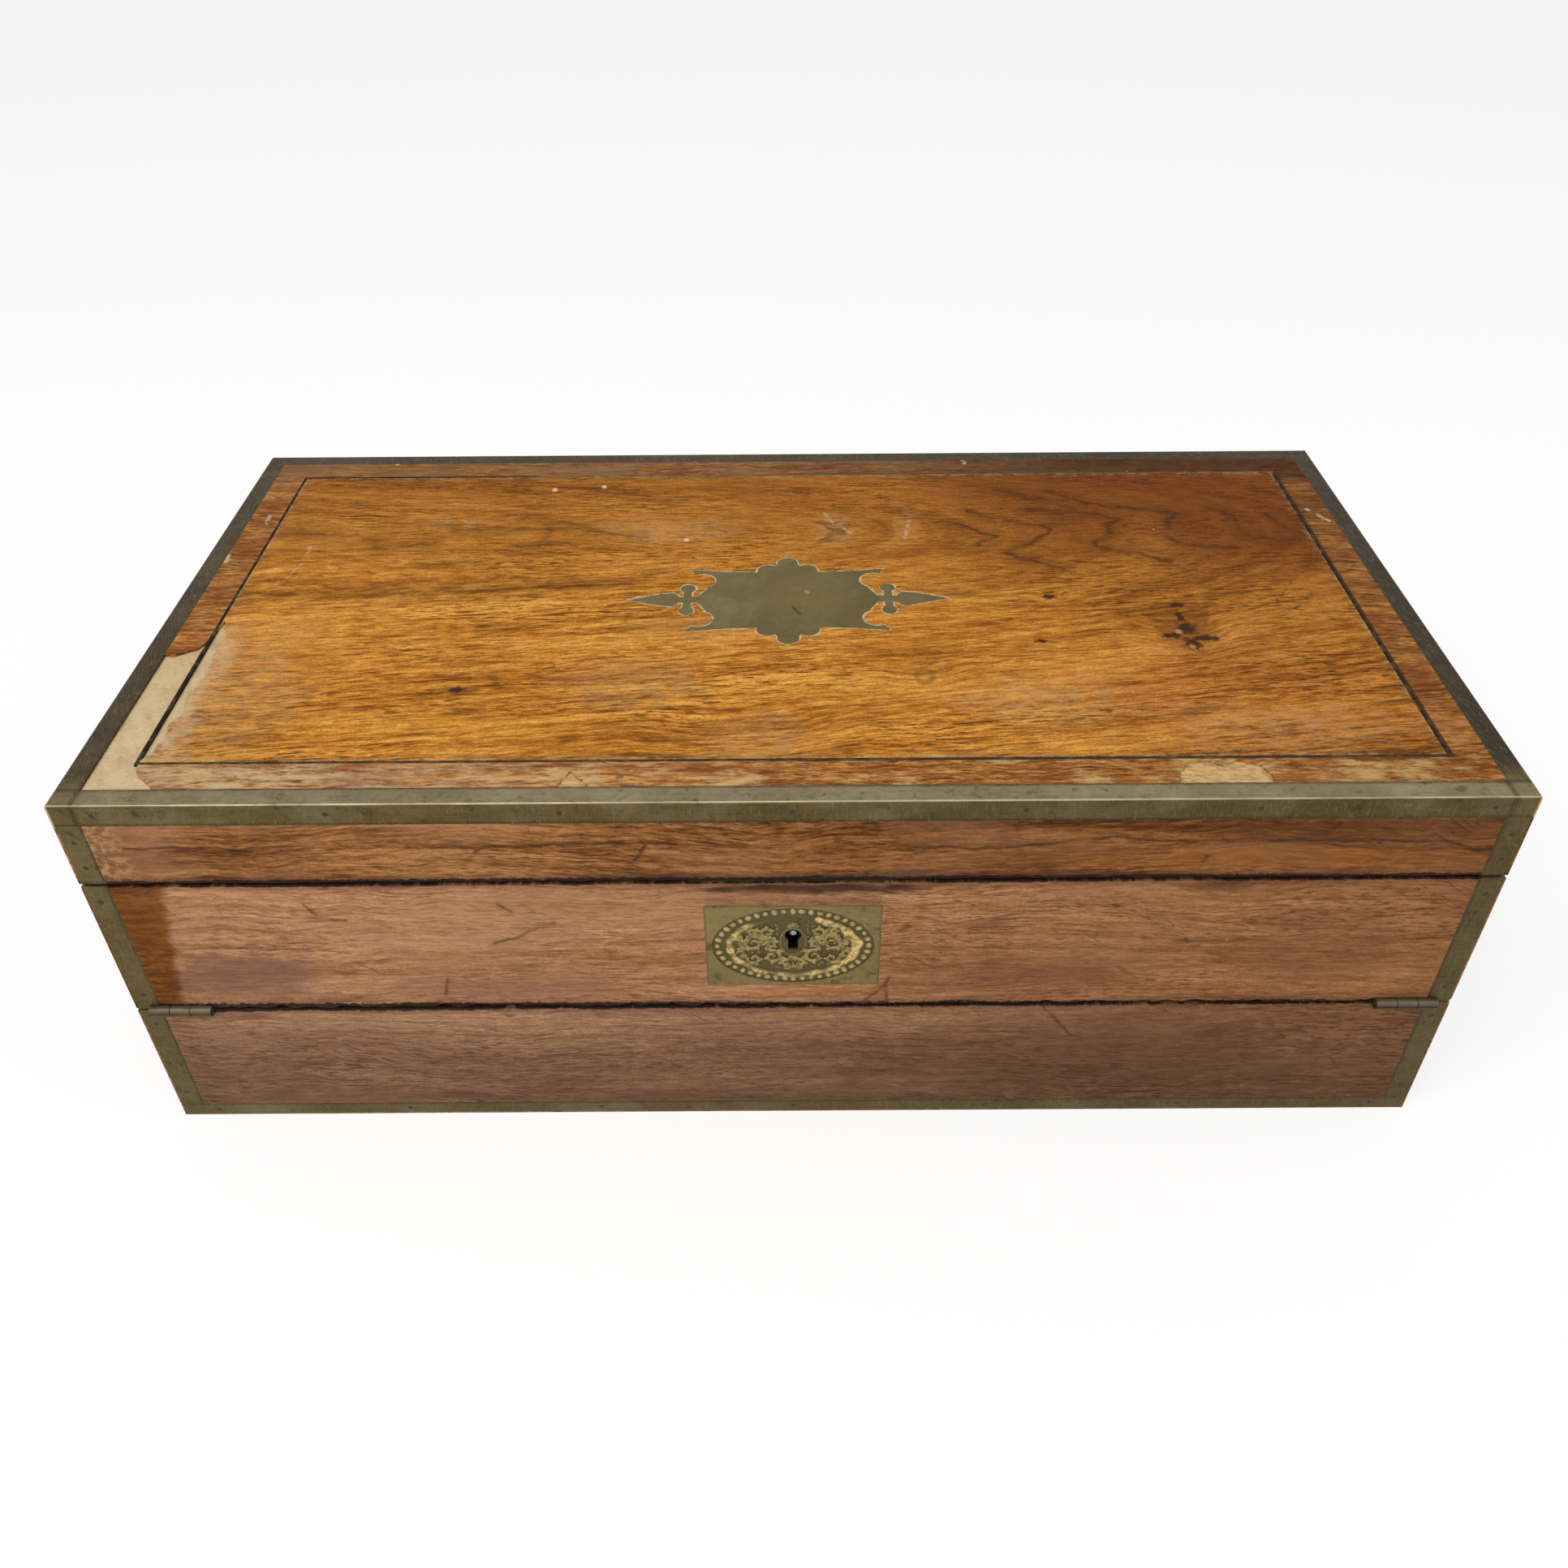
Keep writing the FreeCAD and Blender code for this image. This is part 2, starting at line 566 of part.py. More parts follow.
def build_case():
    """Walls, boards, slope frame and brass of the fixed part."""
    ring, uprights = case_strips()
    brass = [ring] + uprights
    flap_fixed, _, flap_pins, flap_room = flap_hinges()
    lid_fixed, _, lid_pins, lid_room = lid_hinges()
    board_fixed, _, board_pins, board_room = board_hinges()
    handle = on_right_face(handle_pocket(), HALF_WIDTH, HANDLE_HEIGHT)
    cup = on_right_face(handle_cup(), HALF_WIDTH, HANDLE_HEIGHT)
    lock_x, lock_y = drawer_lock_pin_place()

    bottom = block(-INNER_X, INNER_X, -INNER_Y, INNER_Y, BOTTOM_RECESS, FLOOR)
    front = block(-HALF_WIDTH, HALF_WIDTH, -HALF_DEPTH, -INNER_Y, 0, FRONT_WALL_TOP)
    front = less(front, brass + flap_fixed + flap_room)
    back = block(-HALF_WIDTH, HALF_WIDTH, INNER_Y, HALF_DEPTH, 0, CASE_TOP)
    back = less(back, brass + lid_fixed + lid_room)
    end = fused([
        block(INNER_X, HALF_WIDTH, -INNER_Y, INNER_Y, 0, FRONT_WALL_TOP),
        block(INNER_X, HALF_WIDTH, -INNER_Y + FLAP_FIT, INNER_Y, FRONT_WALL_TOP, CASE_TOP),
    ])
    end = less(end, brass)
    opening = block(INNER_X - 1, HALF_WIDTH + 1, -DRAWER_HALF_OPENING, DRAWER_HALF_OPENING,
                    FLOOR, DUST_BOARD_BOTTOM)
    left_end = flipped_x(less(end, [handle]))
    right_end = less(end, [opening])

    dust_board = block(-INNER_X, INNER_X, -INNER_Y, INNER_Y, DUST_BOARD_BOTTOM, DUST_BOARD_TOP)
    lock_hole = rod(Vec(lock_x, lock_y, DUST_BOARD_TOP), Z_AXIS, LOCK_PIN_RADIUS + LOCK_PIN_FIT,
                    4 * DUST_BOARD_THICKNESS)
    dust_board = less(dust_board, [lock_hole])
    guide = block(-INNER_X, INNER_X, DRAWER_HALF_OPENING, INNER_Y, FLOOR, DUST_BOARD_BOTTOM)

    write("bottom_board", [bottom])
    write("case_front_wall", [front])
    write("case_back_wall", [back])
    write("case_left_wall", [left_end])
    write("case_right_wall", [right_end])
    write("dust_board", [dust_board])
    write("drawer_guides", [guide, flipped_y(guide)])
    write("slope_frame_rails", slope_frame(board_fixed + board_room))
    points = case_pin_points()
    holes = pin_holes(points)
    write("case_bottom_strips", [less(strip, holes) for strip in mitred(ring)])
    write("case_corner_strips", [less(strip, holes + flap_fixed + flap_room) for strip in uprights])
    write("case_strip_pins", pins(points))
    write("flap_hinge_lower_leaves", flap_fixed)
    write("lid_hinge_lower_leaves", lid_fixed)
    write("board_hinge_fixed_leaves", board_fixed)
    write("hinge_pins", flap_pins + lid_pins + board_pins)
    write("side_handle_cup", [flipped_x(cup)])


def slope_end(y, thickness, square):
    """Top and bottom corner of a slope piece's end at depth y, upright or square to the slope."""
    z = slope_height(y)
    if square:
        tilt = math.radians(SLOPE_ANGLE)
        return (y, z), (y + thickness * math.sin(tilt), z - thickness * math.cos(tilt))
    return (y, z), (y, z - thickness / math.cos(math.radians(SLOPE_ANGLE)))


def slope_piece(x0, x1, y0, y1, thickness, square_front=True, square_back=True):
    """A flat piece lying with its upper face in the writing slope."""
    front_top, front_low = slope_end(y0, thickness, square_front)
    back_top, back_low = slope_end(y1, thickness, square_back)
    return side_prism([front_top, back_top, back_low, front_low], x0, x1)


def slope_frame(hinge_tools):
    """The fixed frame round the writing board: two side rails, a front rail and a back rail."""
    rail_x = INNER_X - SLOPE_SIDE_RAIL
    side = slope_piece(rail_x, INNER_X, SLOPE_FRONT_Y, PEN_PARTITION_FRONT, SLOPE_THICKNESS,
                       False, False)
    front = slope_piece(-rail_x, rail_x, SLOPE_FRONT_Y, SLOPE_FRONT_Y + SLOPE_CROSS_RAIL,
                        SLOPE_THICKNESS, square_front=False)
    back = slope_piece(-rail_x, rail_x, BOARD_AXIS_Y + BOARD_FIT / 2, PEN_PARTITION_FRONT,
                       SLOPE_THICKNESS, square_back=False)
    return [side, flipped_x(side), front, less(back, hinge_tools)]


def build_pen_section():
    """The partition behind the slope, the dividers of the wells and the bearers of the tray."""
    partition = block(-INNER_X, INNER_X, PEN_PARTITION_FRONT, PEN_PARTITION_BACK,
                      DUST_BOARD_TOP, PARTITION_TOP)
    write("pen_partition", [partition])
    dividers = [
        block(x, x + DIVIDER_THICKNESS, PEN_PARTITION_BACK, INNER_Y, DUST_BOARD_TOP, PARTITION_TOP)
        for x in (TRAY_CELL_HALF, WELL_OUTER_X)
    ]
    dividers.append(block(WELL_OUTER_X + DIVIDER_THICKNESS, INNER_X,
                          INK_CELL_FRONT - CROSS_DIVIDER_THICKNESS, INK_CELL_FRONT,
                          DUST_BOARD_TOP, PARTITION_TOP))
    tray_bottom = PARTITION_TOP - TRAY_HEIGHT
    dividers.append(block(TRAY_CELL_HALF - TRAY_BEARER_WIDTH, TRAY_CELL_HALF, PEN_PARTITION_BACK,
                          INNER_Y, tray_bottom - REST_GAP - TRAY_BEARER_HEIGHT,
                          tray_bottom - REST_GAP))
    write("well_dividers", dividers + [flipped_x(divider) for divider in dividers])


# ---------------------------------------------------------------- front flap and lock
KEYHOLE_CENTRE = LOCK_PLATE_BOTTOM + LOCK_PLATE_HEIGHT / 2 + KEYHOLE_RISE
STAPLE_CENTRE_Y = -INNER_Y - STAPLE_DEPTH / 2 - LOCK_CASE_WALL
STAPLE_BOTTOM = FLAP_TOP + FLAP_LID_GAP - STAPLE_DROP
EYE_BOTTOM = STAPLE_BOTTOM + 2.0
LOCK_CASE_TOP = FLAP_TOP - SELVEDGE_THICKNESS
STAPLES_X = (-STAPLE_SPACING / 2, STAPLE_SPACING / 2)


def keyhole(y0, y1):
    """The keyhole as a tool: a round head over a straight slot."""
    head = Part.makeCylinder(KEYHOLE_HEAD_RADIUS, y1 - y0, Vec(0, y0, KEYHOLE_CENTRE), Y_AXIS)
    low = KEYHOLE_CENTRE + KEYHOLE_HEAD_RADIUS - KEYHOLE_HEIGHT
    slot = block(-KEYHOLE_SLOT_WIDTH / 2, KEYHOLE_SLOT_WIDTH / 2, y0, y1, low, KEYHOLE_CENTRE)
    return fused([head, slot])


def oval(width, height, y0, y1):
    """An upright oval slab between y0 and y1, centred on the lock plate."""
    centre = Vec(0, y0, LOCK_PLATE_BOTTOM + LOCK_PLATE_HEIGHT / 2)
    ellipse = Part.Ellipse(centre + X_AXIS * (width / 2), centre + Z_AXIS * (height / 2), centre)
    return Part.Face(Part.Wire(ellipse.toShape())).extrude(Y_AXIS * (y1 - y0))


def staple_slots(z0, z1):
    """Slots for the staples, open towards the inside so that the flap can fall away from them."""
    half = STAPLE_THICKNESS / 2 + STAPLE_FIT
    front = STAPLE_CENTRE_Y - STAPLE_DEPTH / 2 - STAPLE_FIT
    return [block(x - half, x + half, front, -INNER_Y + LEATHER_THICKNESS + 1, z0, z1)
            for x in STAPLES_X]


def lock_case_block(grow):
    """The lock case's outer block, or with grow the mortise around it."""
    half = LOCK_CASE_WIDTH / 2 + grow
    return block(-half, half, -INNER_Y - LOCK_CASE_DEPTH - grow, -INNER_Y + grow,
                 LOCK_CASE_TOP - LOCK_CASE_HEIGHT - grow, LOCK_CASE_TOP)


def build_lock():
    """Lock plate, case, selvedge and sliding bolt."""
    face = -HALF_DEPTH
    half = LOCK_PLATE_WIDTH / 2
    plate = block(-half, half, face, face + LOCK_PLATE_THICKNESS,
                  LOCK_PLATE_BOTTOM, LOCK_PLATE_BOTTOM + LOCK_PLATE_HEIGHT)
    rim = less(oval(OVAL_WIDTH, OVAL_HEIGHT, face - OVAL_RELIEF, face + OVAL_RELIEF),
               [oval(OVAL_WIDTH - 2 * OVAL_RIM, OVAL_HEIGHT - 2 * OVAL_RIM, face - 1, face + 1)])
    plate = less(fused([plate, rim]), [keyhole(face - 1, face + LOCK_PLATE_THICKNESS + 1)])
    write("lock_plate", [plate])

    shell = lock_case_block(0.0)
    wall = LOCK_CASE_WALL
    side = LOCK_CASE_WIDTH / 2 - wall
    hollow = block(-side, side, -INNER_Y - LOCK_CASE_DEPTH + wall, -INNER_Y - wall,
                   LOCK_CASE_TOP - LOCK_CASE_HEIGHT + wall, LOCK_CASE_TOP)
    slots = staple_slots(STAPLE_BOTTOM - 2 * STAPLE_FIT, FLAP_TOP + 1)
    front_cut = keyhole(-INNER_Y - LOCK_CASE_DEPTH - 1, -INNER_Y - LOCK_CASE_DEPTH + wall + 1)
    shell = less(shell, [hollow, front_cut] + slots)
    drill_pin = Part.makeCylinder(DRILL_PIN_RADIUS, LOCK_CASE_DEPTH + 1.5 - wall,
                                  Vec(0, -INNER_Y - wall, KEYHOLE_CENTRE), -Y_AXIS)
    write("lock_case", [fused([shell, drill_pin])])

    selvedge = block(-SELVEDGE_WIDTH / 2, SELVEDGE_WIDTH / 2, -HALF_DEPTH + 1, -INNER_Y,
                     LOCK_CASE_TOP, FLAP_TOP)
    write("lock_selvedge", [less(selvedge, slots)])

    bolt_y0, bolt_y1 = bolt_depths()
    bar_top = STAPLE_BOTTOM - STAPLE_FIT
    nose_tips = [x - STAPLE_THICKNESS / 2 - STAPLE_FIT for x in STAPLES_X]
    reach = BOLT_THROW + BOLT_UPRIGHT
    bar = block(nose_tips[0] - reach, nose_tips[1] - BOLT_THROW, bolt_y0, bolt_y1,
                bar_top - BOLT_BAR_HEIGHT, bar_top)
    hooks = []
    for tip in nose_tips:
        hooks.append(block(tip - reach, tip - BOLT_THROW, bolt_y0, bolt_y1,
                           bar_top, EYE_BOTTOM + EYE_HEIGHT - BOLT_FIT))
        hooks.append(block(tip - reach, tip, bolt_y0, bolt_y1,
                           EYE_BOTTOM + BOLT_FIT, EYE_BOTTOM + EYE_HEIGHT - BOLT_FIT))
    write("lock_bolt", [fused([bar] + hooks)])


def bolt_depths():
    """Front and back of the bolt, a little inside the staples' eyes."""
    half = EYE_WIDTH / 2 - BOLT_FIT
    return STAPLE_CENTRE_Y - half, STAPLE_CENTRE_Y + half


def build_flap():
    """The falling band of the front, with its lining, strips and hinge leaves."""
    _, moving, _, room = flap_hinges()
    strips = [corner_strip(side, -1, FLAP_BOTTOM, FLAP_TOP) for side in (-1, 1)]
    panel = block(-HALF_WIDTH, HALF_WIDTH, -HALF_DEPTH, -INNER_Y, FLAP_BOTTOM, FLAP_TOP)
    plate_half = LOCK_PLATE_WIDTH / 2
    plate_room = block(-plate_half, plate_half, -HALF_DEPTH - 1, -HALF_DEPTH + LOCK_PLATE_THICKNESS,
                       LOCK_PLATE_BOTTOM, LOCK_PLATE_BOTTOM + LOCK_PLATE_HEIGHT)
    selvedge_room = block(-SELVEDGE_WIDTH / 2, SELVEDGE_WIDTH / 2, -HALF_DEPTH + 1, -INNER_Y + 1,
                          LOCK_CASE_TOP, FLAP_TOP + 1)
    tools = strips + moving + room
    tools += [plate_room, selvedge_room, lock_case_block(0.0)]
    tools += [keyhole(-HALF_DEPTH - 1, -INNER_Y)]
    write("flap_panel", [less(panel, tools)])
    points = [p for side in (-1, 1) for p in corner_pin_points(side, -1, FLAP_BOTTOM, FLAP_TOP)]
    holes = pin_holes(points)
    write("flap_corner_strips", [less(strip, holes + moving + room) for strip in strips])
    write("flap_strip_pins", pins(points))
    write("flap_hinge_upper_leaves", moving)
    margin = SLOPE_CROSS_RAIL / 2
    lining = block(-INNER_X + margin, INNER_X - margin, -INNER_Y, -INNER_Y + LEATHER_THICKNESS,
                   FLAP_BOTTOM + margin, FLAP_TOP - margin)
    write("flap_lining", [less(lining, [lock_case_block(LEATHER_THICKNESS)])])


# ---------------------------------------------------------------- lid
def mirrored_four(points):
    """A closed outline from its right upper quarter, which runs from the x axis to the y axis."""
    upper = points + [(-x, y) for x, y in reversed(points)]
    return upper + [(x, -y) for x, y in reversed(upper)]


def cartouche_outline(z0, z1, grow):
    """The brass shield in the lid: a horned oblong with lobed crests, and a leaf at each end.

    grow widens the outline all round, for the recess that the shield lies in.
    """
    scale_x = CARTOUCHE_LENGTH / 130.0
    scale_y = CARTOUCHE_HEIGHT / 66.0
    g = grow / min(scale_x, scale_y)

    def disc(x, y, radius):
        centre = Vec(x * scale_x, y * scale_y, z0)
        return Part.makeCylinder(radius + grow, z1 - z0, centre, Z_AXIS)

    def plate(points):
        return plan_prism([(x * scale_x, y * scale_y) for x, y in points], z0, z1)

    body = plate(mirrored_four([(36.8 + g, 2), (33 + g, 8.6), (40.2 + g, 23.6 + g),
                                (26, 21.9 + g), (11, 21.2 + g)]))
    bites = [disc(side_x * 35.6, side_y * 14.6, 6.0 - 2 * grow) for side_x, side_y in ALL_CORNERS]
    whole = [less(body, bites)]
    for side in (-1, 1):
        whole += [disc(0, side * 28.7, 4.3), disc(-7.9, side * 22.6, 4.6), disc(7.9, side * 22.6, 4.6)]
        whole.append(plate([(-10, side * 18), (10, side * 18), (4, side * 28), (-4, side * 28)]))
        whole += [disc(side * 41, 8.5, 3.0), disc(side * 41, -8.5, 3.0)]
        whole.append(plate([(side * (39.4 - g), -8), (side * (42.6 + g), -8),
                            (side * (42.6 + g), 8), (side * (39.4 - g), 8)]))
        whole.append(plate([(side * 34, -2.4 - g), (side * 46, -2.0 - g),
                            (side * 46, 2.0 + g), (side * 34, 2.4 + g)]))
        whole.append(plate([(side * (44.6 - g), -2.4), (side * 46.6, -5.2 - g), (side * 52, -4.4 - g),
                            (side * (65 + 3 * g), 0), (side * 52, 4.4 + g), (side * 46.6, 5.2 + g),
                            (side * (44.6 - g), 2.4)]))
    return fused(whole).translated(Vec(*CARTOUCHE_CENTRE, 0))


def from_corner(points):
    """Points measured from the lid's front left corner, in the box's own frame."""
    return [(x - HALF_WIDTH, y - HALF_DEPTH) for x, y in points]


def lid_strips():
    """The ring round the top of the lid, and the upright strips at its corners."""
    ring = edge_ring(BOX_HEIGHT, -1, LID_STRIP_TOP_LEG, LID_STRIP_FRONT_LEG)
    top = BOX_HEIGHT - LID_STRIP_FRONT_LEG
    return ring, [corner_strip(sx, sy, LID_SEAM, top) for sx, sy in ALL_CORNERS]


def build_lid_top(brass):
    """The ground board with its veneers, string and shield."""
    board = block(-HALF_WIDTH, HALF_WIDTH, -HALF_DEPTH, HALF_DEPTH, LID_WALL_TOP, LID_GROUND_TOP)
    write("lid_top_board", [less(board, brass)])

    z0, z1 = LID_GROUND_TOP, BOX_HEIGHT
    losses = [plan_prism(from_corner(p), z0 - 1, z1 + 1)
              for p in (CORNER_LOSS, FRONT_LOSS, SMALL_LOSS)]
    string_x, string_y = HALF_WIDTH - STRING_INSET, HALF_DEPTH - STRING_INSET
    field_x, field_y = string_x - STRING_WIDTH, string_y - STRING_WIDTH
    string = plan_ring(string_x, string_y, field_x, field_y, z0, z1)
    edge_x, edge_y = HALF_WIDTH - LID_STRIP_TOP_LEG, HALF_DEPTH - LID_STRIP_TOP_LEG
    border = less(plan_ring(edge_x, edge_y, string_x, string_y, z0, z1), losses)
    pocket = cartouche_outline(z0 - 1, z1 + 1, CARTOUCHE_GAP)
    field = less(block(-field_x, field_x, -field_y, field_y, z0, z1), [pocket] + losses)
    write("lid_veneer_border", [border])
    write("lid_veneer_field", [field])
    write("lid_string_inlay", [string])
    write("lid_cartouche", [cartouche_outline(z0, z0 + CARTOUCHE_THICKNESS, 0.0)])


def build_lid_walls(ring, strips):
    """The lid's four walls with their brass, hinge leaves and the lock's link plate."""
    _, moving, _, room = lid_hinges()
    brass = [ring] + strips
    link_half = LINK_PLATE_WIDTH / 2
    link_back = STAPLE_CENTRE_Y + STAPLE_DEPTH / 2
    link_room = block(-link_half, link_half, -HALF_DEPTH + 1, link_back,
                      LID_SEAM - 1, LID_SEAM + LINK_PLATE_THICKNESS)
    front = block(-HALF_WIDTH, HALF_WIDTH, -HALF_DEPTH, -INNER_Y, LID_SEAM, LID_WALL_TOP)
    back = block(-HALF_WIDTH, HALF_WIDTH, INNER_Y, HALF_DEPTH, LID_SEAM, LID_WALL_TOP)
    end = less(block(INNER_X, HALF_WIDTH, -INNER_Y, INNER_Y, LID_SEAM, LID_WALL_TOP), brass)
    write("lid_front_wall", [less(front, brass + [link_room])])
    write("lid_back_wall", [less(back, brass + moving + room)])
    write("lid_end_walls", [end, flipped_x(end)])

    points = row_of_pin_points(BOX_HEIGHT - LID_STRIP_FRONT_LEG / 2)
    for side_x, side_y in ALL_CORNERS:
        points += corner_pin_points(side_x, side_y, LID_SEAM, BOX_HEIGHT - LID_STRIP_FRONT_LEG)
    holes = pin_holes(points)
    write("lid_edge_strips", [less(strip, holes) for strip in mitred(ring)])
    write("lid_corner_strips", [less(strip, holes) for strip in strips])
    write("lid_strip_pins", pins(points))
    write("lid_hinge_upper_leaves", moving)

    plate = block(-link_half, link_half, -HALF_DEPTH + 1, link_back,
                  LID_SEAM, LID_SEAM + LINK_PLATE_THICKNESS)
    loops = []
    for x in STAPLES_X:
        loop = block(x - STAPLE_THICKNESS / 2, x + STAPLE_THICKNESS / 2,
                     STAPLE_CENTRE_Y - STAPLE_DEPTH / 2, STAPLE_CENTRE_Y + STAPLE_DEPTH / 2,
                     STAPLE_BOTTOM, LID_SEAM + LINK_PLATE_THICKNESS / 2)
        eye = block(x - STAPLE_THICKNESS, x + STAPLE_THICKNESS,
                    STAPLE_CENTRE_Y - EYE_WIDTH / 2, STAPLE_CENTRE_Y + EYE_WIDTH / 2,
                    EYE_BOTTOM, EYE_BOTTOM + EYE_HEIGHT)
        loops.append(less(loop, [eye]))
    write("link_plate", [fused([plate] + loops)])


def build_lid_lining():
    """The leather panel inside the lid and the moulding that frames it."""
    board_bottom = LID_WALL_TOP - LINING_BOARD_THICKNESS
    frame = plan_ring(INNER_X, INNER_Y, INNER_X - LINING_FRAME_WIDTH, INNER_Y - LINING_FRAME_WIDTH,
                      board_bottom - LINING_FRAME_THICKNESS, board_bottom)
    board = block(-INNER_X, INNER_X, -INNER_Y, INNER_Y, board_bottom, LID_WALL_TOP)
    write("lid_lining_frame", [frame])
    write("lid_lining", [board])


# ---------------------------------------------------------------- drawer and handles
def build_drawer():
    """The drawer, its flush handle and the pin that locks it."""
    fit = DRAWER_FIT
    half = DRAWER_HALF_OPENING - fit
    low, high = FLOOR + REST_GAP, DUST_BOARD_BOTTOM - fit
    inner_x = HALF_WIDTH - DRAWER_FRONT_THICKNESS
    back_x = inner_x - DRAWER_LENGTH
    lock_x, lock_y = drawer_lock_pin_place()
    lock_hole = rod(Vec(lock_x, lock_y, high), Z_AXIS, LOCK_PIN_RADIUS + LOCK_PIN_FIT,
                    2 * (LOCK_PIN_TRAVEL + 1))
    front = block(inner_x, HALF_WIDTH, -half, half, low, high)
    front = less(front, [on_right_face(handle_pocket(), HALF_WIDTH, HANDLE_HEIGHT), lock_hole])
    top = high - DRAWER_SIDE_DROP
    side = block(back_x, inner_x, half - DRAWER_SIDE, half, low, top)
    back = block(back_x, back_x + DRAWER_SIDE, -half + DRAWER_SIDE, half - DRAWER_SIDE, low, top)
    bottom = block(back_x + DRAWER_SIDE, inner_x, -half + DRAWER_SIDE, half - DRAWER_SIDE,
                   low, low + DRAWER_BOTTOM_THICKNESS)
    write("drawer_front", [front])
    write("drawer_sides", [side, flipped_y(side)])
    write("drawer_back", [back])
    write("drawer_bottom", [bottom])
    write("drawer_handle_cup", [on_right_face(handle_cup(), HALF_WIDTH, HANDLE_HEIGHT)])
    write("drawer_handle_bail", [on_right_face(handle_bail(), HALF_WIDTH, HANDLE_HEIGHT)])
    write("side_handle_bail", [flipped_x(on_right_face(handle_bail(), HALF_WIDTH, HANDLE_HEIGHT))])

    knob_low = DUST_BOARD_TOP + LOCK_PIN_TRAVEL + REST_GAP
    pin_low = DUST_BOARD_BOTTOM + REST_GAP
    shank = Part.makeCylinder(LOCK_PIN_RADIUS, knob_low - pin_low, Vec(lock_x, lock_y, pin_low))
    knob = Part.makeCylinder(LOCK_PIN_KNOB_RADIUS, LOCK_PIN_KNOB_HEIGHT, Vec(lock_x, lock_y, knob_low))
    waist = Part.makeTorus(LOCK_PIN_KNOB_RADIUS + 0.6, LOCK_PIN_KNOB_RADIUS / 2,
                           Vec(lock_x, lock_y, knob_low + LOCK_PIN_KNOB_HEIGHT * 0.4))
    write("drawer_lock_pin", [fused([shank, less(knob, [waist])])])


# ---------------------------------------------------------------- writing board
def build_writing_board():
    """The hinged board of the slope with its leather panel."""
    _, moving, _, room = board_hinges()
    half = INNER_X - SLOPE_SIDE_RAIL - BOARD_FIT
    front = SLOPE_FRONT_Y + SLOPE_CROSS_RAIL + BOARD_FIT
    back = BOARD_AXIS_Y - BOARD_FIT / 2
    board = slope_piece(-half, half, front, back, SLOPE_THICKNESS)
    leather = slope_piece(-half + BOARD_BORDER, half - BOARD_BORDER, front + BOARD_BORDER,
                          back - BOARD_BORDER, LEATHER_THICKNESS)
    write("writing_board", [less(board, [leather] + moving + room)])
    write("writing_leather", [leather])
    write("board_hinge_moving_leaves", moving)


# ---------------------------------------------------------------- tray and inkwells
def build_tray():
    """The lift-out pen tray with its long rounded trough."""
    half = TRAY_CELL_HALF - TRAY_FIT
    y0, y1 = PEN_PARTITION_BACK + TRAY_FIT, INNER_Y - TRAY_FIT
    low, high = PARTITION_TOP - TRAY_HEIGHT, PARTITION_TOP
    tray = block(-half, half, y0, y1, low, high)
    reach = (y1 - y0) / 2 - TRAY_WALL
    radius = (reach ** 2 + TROUGH_DEPTH ** 2) / (2 * TROUGH_DEPTH)
    centre = Vec(0, (y0 + y1) / 2, high + radius - TROUGH_DEPTH)
    trough = rod(centre, X_AXIS, radius, 2 * (half - TRAY_END))
    write("pen_tray", [less(tray, [trough])])


def ink_centre():
    """Plan position of the left inkwell, in the middle of its cell."""
    return -INNER_X + INK_CELL / 2, INNER_Y - INK_CELL / 2


